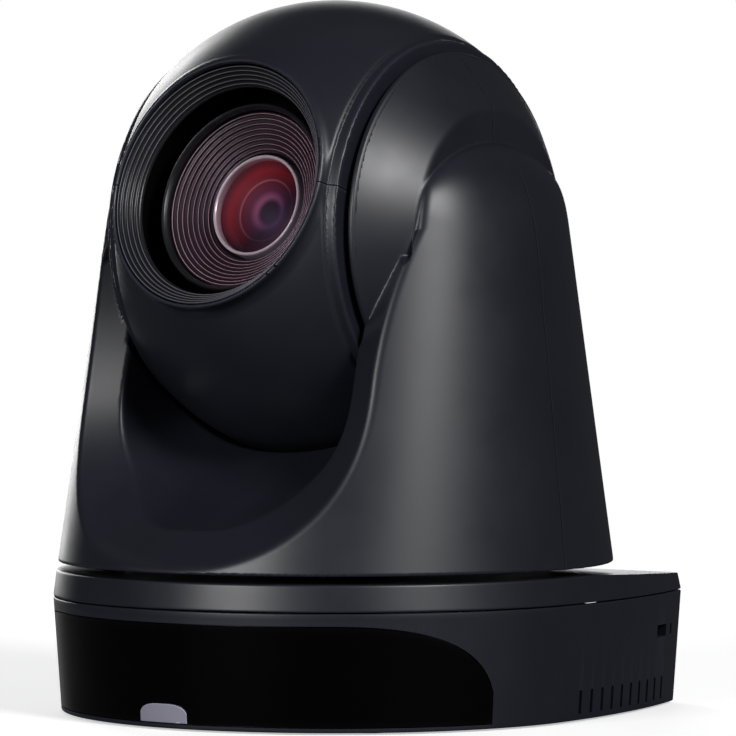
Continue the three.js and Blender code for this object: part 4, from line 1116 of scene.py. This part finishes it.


def element_glass():
    """The inner element: rings of painted reflection round a dark pupil of painted shade, under a polished coat.
    """
    material, nodes, links, shader = new_material("coated_inner_element")
    where = nodes.new("ShaderNodeTexCoord")
    shift = nodes.new("ShaderNodeVectorMath")
    shift.operation = "SUBTRACT"
    centre = LENS_PLACE @ Vector((0, 0, PUPIL_DEPTH))
    shift.inputs[1].default_value = centre * MM
    links.new(where.outputs["Object"], shift.inputs[0])
    length = nodes.new("ShaderNodeVectorMath")
    length.operation = "LENGTH"
    links.new(shift.outputs["Vector"], length.inputs[0])
    share = remap(nodes, links, length.outputs["Value"], 0, ELEMENT_RADIUS * MM, 0, 1)
    ramp = nodes.new("ShaderNodeValToRGB")
    elements = ramp.color_ramp.elements
    for element, (position, colour) in zip(elements, (ELEMENT_COLOURS[0], ELEMENT_COLOURS[-1])):
        element.position = position
        element.color = (*colour, 1)
    for position, colour in ELEMENT_COLOURS[1:-1]:
        elements.new(position).color = (*colour, 1)
    links.new(share, ramp.inputs["Fac"])
    across = nodes.new("ShaderNodeVectorMath")
    across.operation = "DOT_PRODUCT"
    across.inputs[1].default_value = REFLECTION_SIDE
    links.new(shift.outputs["Vector"], across.inputs[0])
    # Painted reflection: brighter and redder towards the upper left, darker and purpler away from it.
    reflection_share = remap(nodes, links, across.outputs["Value"], -3 * MM, 9 * MM, 0.0, 1.0)
    glow = tint(nodes, links, reflection_share, (0.16, 0.12, 0.24), (1.7, 1.15, 1.0))
    reflected_colour = mixed(nodes, links, 1, ramp.outputs["Color"], glow, "MULTIPLY")
    links.new(reflected_colour, shader.inputs["Base Color"])
    shader.inputs["Roughness"].default_value = 0.5
    shader.inputs["Specular IOR Level"].default_value = 0.15
    return material


PLASTIC = surface(
    "charcoal_moulding", (0.0095, 0.0103, 0.0165), (0.013, 0.0138, 0.0215), 0.38, 0.03, 0.3, 0.006
)
WINDOW_BLACK = ((0.0004, 0.0004, 0.0006), (0.0009, 0.0009, 0.0012))
GLOSS_BLACK = surface(
    "gloss_black_window", *WINDOW_BLACK, 0.12, 0.03, 1.5, 0.0006, Specular_IOR_Level=0.1
)
LAMP = surface("lavender_light_guide", (0.27, 0.26, 0.33), (0.33, 0.32, 0.4), 0.3, 0.05, 0.8, 0.004)
BEZEL = surface("bezel_black", (0.01, 0.01, 0.013), (0.015, 0.015, 0.019), 0.38, 0.05, 0.25, 0.006)
BARREL = surface("barrel_black", (0.006, 0.006, 0.008), (0.011, 0.01, 0.013), 0.3, 0.05, 0.25, 0.004)
BAFFLE = surface(
    "baffle_purple_brown", (0.012, 0.006, 0.008), (0.026, 0.013, 0.017), 0.36, 0.06, 0.25, 0.004
)
# Paler finishes for the thin rings on the bezel ribs and baffle steps: painted highlights.
RIB_EDGE = surface("bezel_rib_edge", (0.05, 0.05, 0.06), (0.08, 0.08, 0.095), 0.3, 0.05, 0.5, 0.002)
BAFFLE_EDGE = surface("baffle_ring_edge", (0.2, 0.14, 0.16), (0.34, 0.25, 0.28), 0.3, 0.05, 0.5, 0.002)
SILVER = surface(
    "bright_ring", (0.72, 0.68, 0.69), (0.85, 0.82, 0.83), 0.3, 0.04, 0.6, 0.002, Metallic=0.3
)
# Near-black with no specular gloss: painted shade for the lens recess.
NEAR_BLACK_SHADE = ((0.0015, 0.0015, 0.002), (0.003, 0.003, 0.0035))
SHADE_FINISH = surface("recess_painted_shade", *NEAR_BLACK_SHADE, 0.95, 0.03, 0.3, 0.02, Specular_IOR_Level=0.0)
STEEL = surface(
    "plated_steel", (0.3, 0.3, 0.31), (0.42, 0.42, 0.43), 0.34, 0.08, 0.5, 0.006, Metallic=1.0
)
ALUMINIUM = surface(
    "cast_aluminium", (0.42, 0.42, 0.44), (0.55, 0.55, 0.57), 0.42, 0.08, 0.4, 0.02, Metallic=1.0
)
BRASS = surface(
    "machined_brass", (0.48, 0.33, 0.12), (0.6, 0.43, 0.18), 0.28, 0.06, 0.4, 0.006, Metallic=1.0
)
RUBBER = surface("black_rubber", (0.012, 0.012, 0.012), (0.02, 0.02, 0.02), 0.85, 0.05, 0.5, 0.03)
BLACK_TRIM = surface(
    "matt_black_moulding", (0.007, 0.007, 0.009), (0.012, 0.012, 0.015), 0.55, 0.06, 0.3, 0.01
)
BOARD = surface("green_board", (0.008, 0.06, 0.025), (0.015, 0.1, 0.04), 0.4, 0.06, 0.8, 0.01)
COVER_GLASS = cover_glass()
ELEMENT_GLASS = element_glass()

BY_SLOT = {
    "shell": PLASTIC,
    "window_gloss": GLOSS_BLACK,
    "lamp": LAMP,
    "plate_metal": STEEL,
    "steel": STEEL,
    "connector_metal": STEEL,
    "aluminium": ALUMINIUM,
    "brass": BRASS,
    "rubber": RUBBER,
    "black_trim": BLACK_TRIM,
    "board": BOARD,
    "coated_glass": ELEMENT_GLASS,
    "silver": SILVER,
}


def dress_cad_nodes():
    """Every CAD node gets the finish of its slot."""
    for row in frame["record"]["subparts"]:
        node = frame["nodes"][row["node"]]
        node.data.materials.clear()
        node.data.materials.append(BY_SLOT[row["material_slot"]])


# -------- studio

OBJECT_MIDDLE = Vector((0, 0, 0.1))


def area_light(name, place_m, size, power, height=None):
    """A white soft light that faces the object."""
    data = bpy.data.lights.new(name, "AREA")
    data.energy = power
    data.size = size
    if height is not None:
        data.shape = "RECTANGLE"
        data.size_y = height
    lamp = added(name, data)
    lamp.location = place_m
    lamp.rotation_euler = (OBJECT_MIDDLE - Vector(place_m)).to_track_quat("-Z", "Y").to_euler()


FLOOR_RADIUS = 550
SEEN_GLOW = 0.5  # the floor's glow, which only the camera sees
WORLD_LIGHT = 0.045  # how much the white surroundings light the object


def build_floor():
    floor = turn("floor", [(0, 0), (FLOOR_RADIUS, 0)], 96, closed=False)
    pale, nodes, links, shader = new_material("pale_floor")
    slow = noise_node(nodes, links, 300, 3)
    pale_tint = tint(nodes, links, slow, (0.86, 0.86, 0.87), (0.9, 0.9, 0.91))
    path = nodes.new("ShaderNodeLightPath")
    seen = path.outputs["Is Camera Ray"]
    links.new(mixed(nodes, links, seen, (0.06, 0.06, 0.065, 1), pale_tint), shader.inputs["Base Color"])
    glow = remap(nodes, links, seen, 0, 1, 0, SEEN_GLOW)
    links.new(glow, shader.inputs["Emission Strength"])
    shader.inputs["Emission Color"].default_value = (1, 1, 1, 1)
    shader.inputs["Roughness"].default_value = 0.8
    floor.data.materials.append(pale)


def build_world():
    world = bpy.data.worlds.new("studio")
    bpy.context.scene.world = world
    world.use_nodes = True
    nodes, links = world.node_tree.nodes, world.node_tree.links
    background = nodes["Background"]
    path = nodes.new("ShaderNodeLightPath")
    strength = remap(nodes, links, path.outputs["Is Camera Ray"], 0, 1, WORLD_LIGHT, 1.0)
    links.new(strength, background.inputs["Strength"])
    background.inputs["Color"].default_value = (1, 1, 1, 1)


def build_lights():
    area_light("key", (1.63, -0.47, 0.96), 0.55, 26, 0.5)
    area_light("front_strip", (-0.1, -1.65, 0.48), 0.75, 14, 0.45)
    area_light("rim_left", (-1.3, 0.75, 0.45), 0.4, 7, 0.9)
    area_light("top", (0.1, 0.3, 1.9), 1.4, 0.3)
    area_light("back", (-1.1, 1.4, 0.5), 0.8, 5)


CAMERA_AZIMUTH = math.radians(37)  # to the right of the front
CAMERA_DISTANCE = 1.2
CAMERA_HEIGHT = 0.1094
CAMERA_LENS = 225.07
CAMERA_YAW = math.radians(0.4)
CAMERA_PITCH = math.radians(0.97)


def build_camera():
    data = bpy.data.cameras.new("camera")
    data.lens = CAMERA_LENS
    data.sensor_width = 36
    data.clip_end = 50
    viewer = added("camera", data)
    viewer.location = (
        CAMERA_DISTANCE * math.sin(CAMERA_AZIMUTH),
        -CAMERA_DISTANCE * math.cos(CAMERA_AZIMUTH),
        CAMERA_HEIGHT,
    )
    heading = CAMERA_AZIMUTH - CAMERA_YAW
    viewer.rotation_euler = (math.pi / 2 - CAMERA_PITCH, 0, heading)
    bpy.context.scene.camera = viewer


dress_cad_nodes()
build_yoke()
build_dome_rims()
build_head_shells()
build_bezel()
build_barrel()
build_glass()
build_recess()
build_housing()
build_top_ring()
build_window()
build_rear()
build_underside()
build_floor()
build_world()
build_lights()
build_camera()
bpy.context.scene.view_settings.view_transform = "Standard"
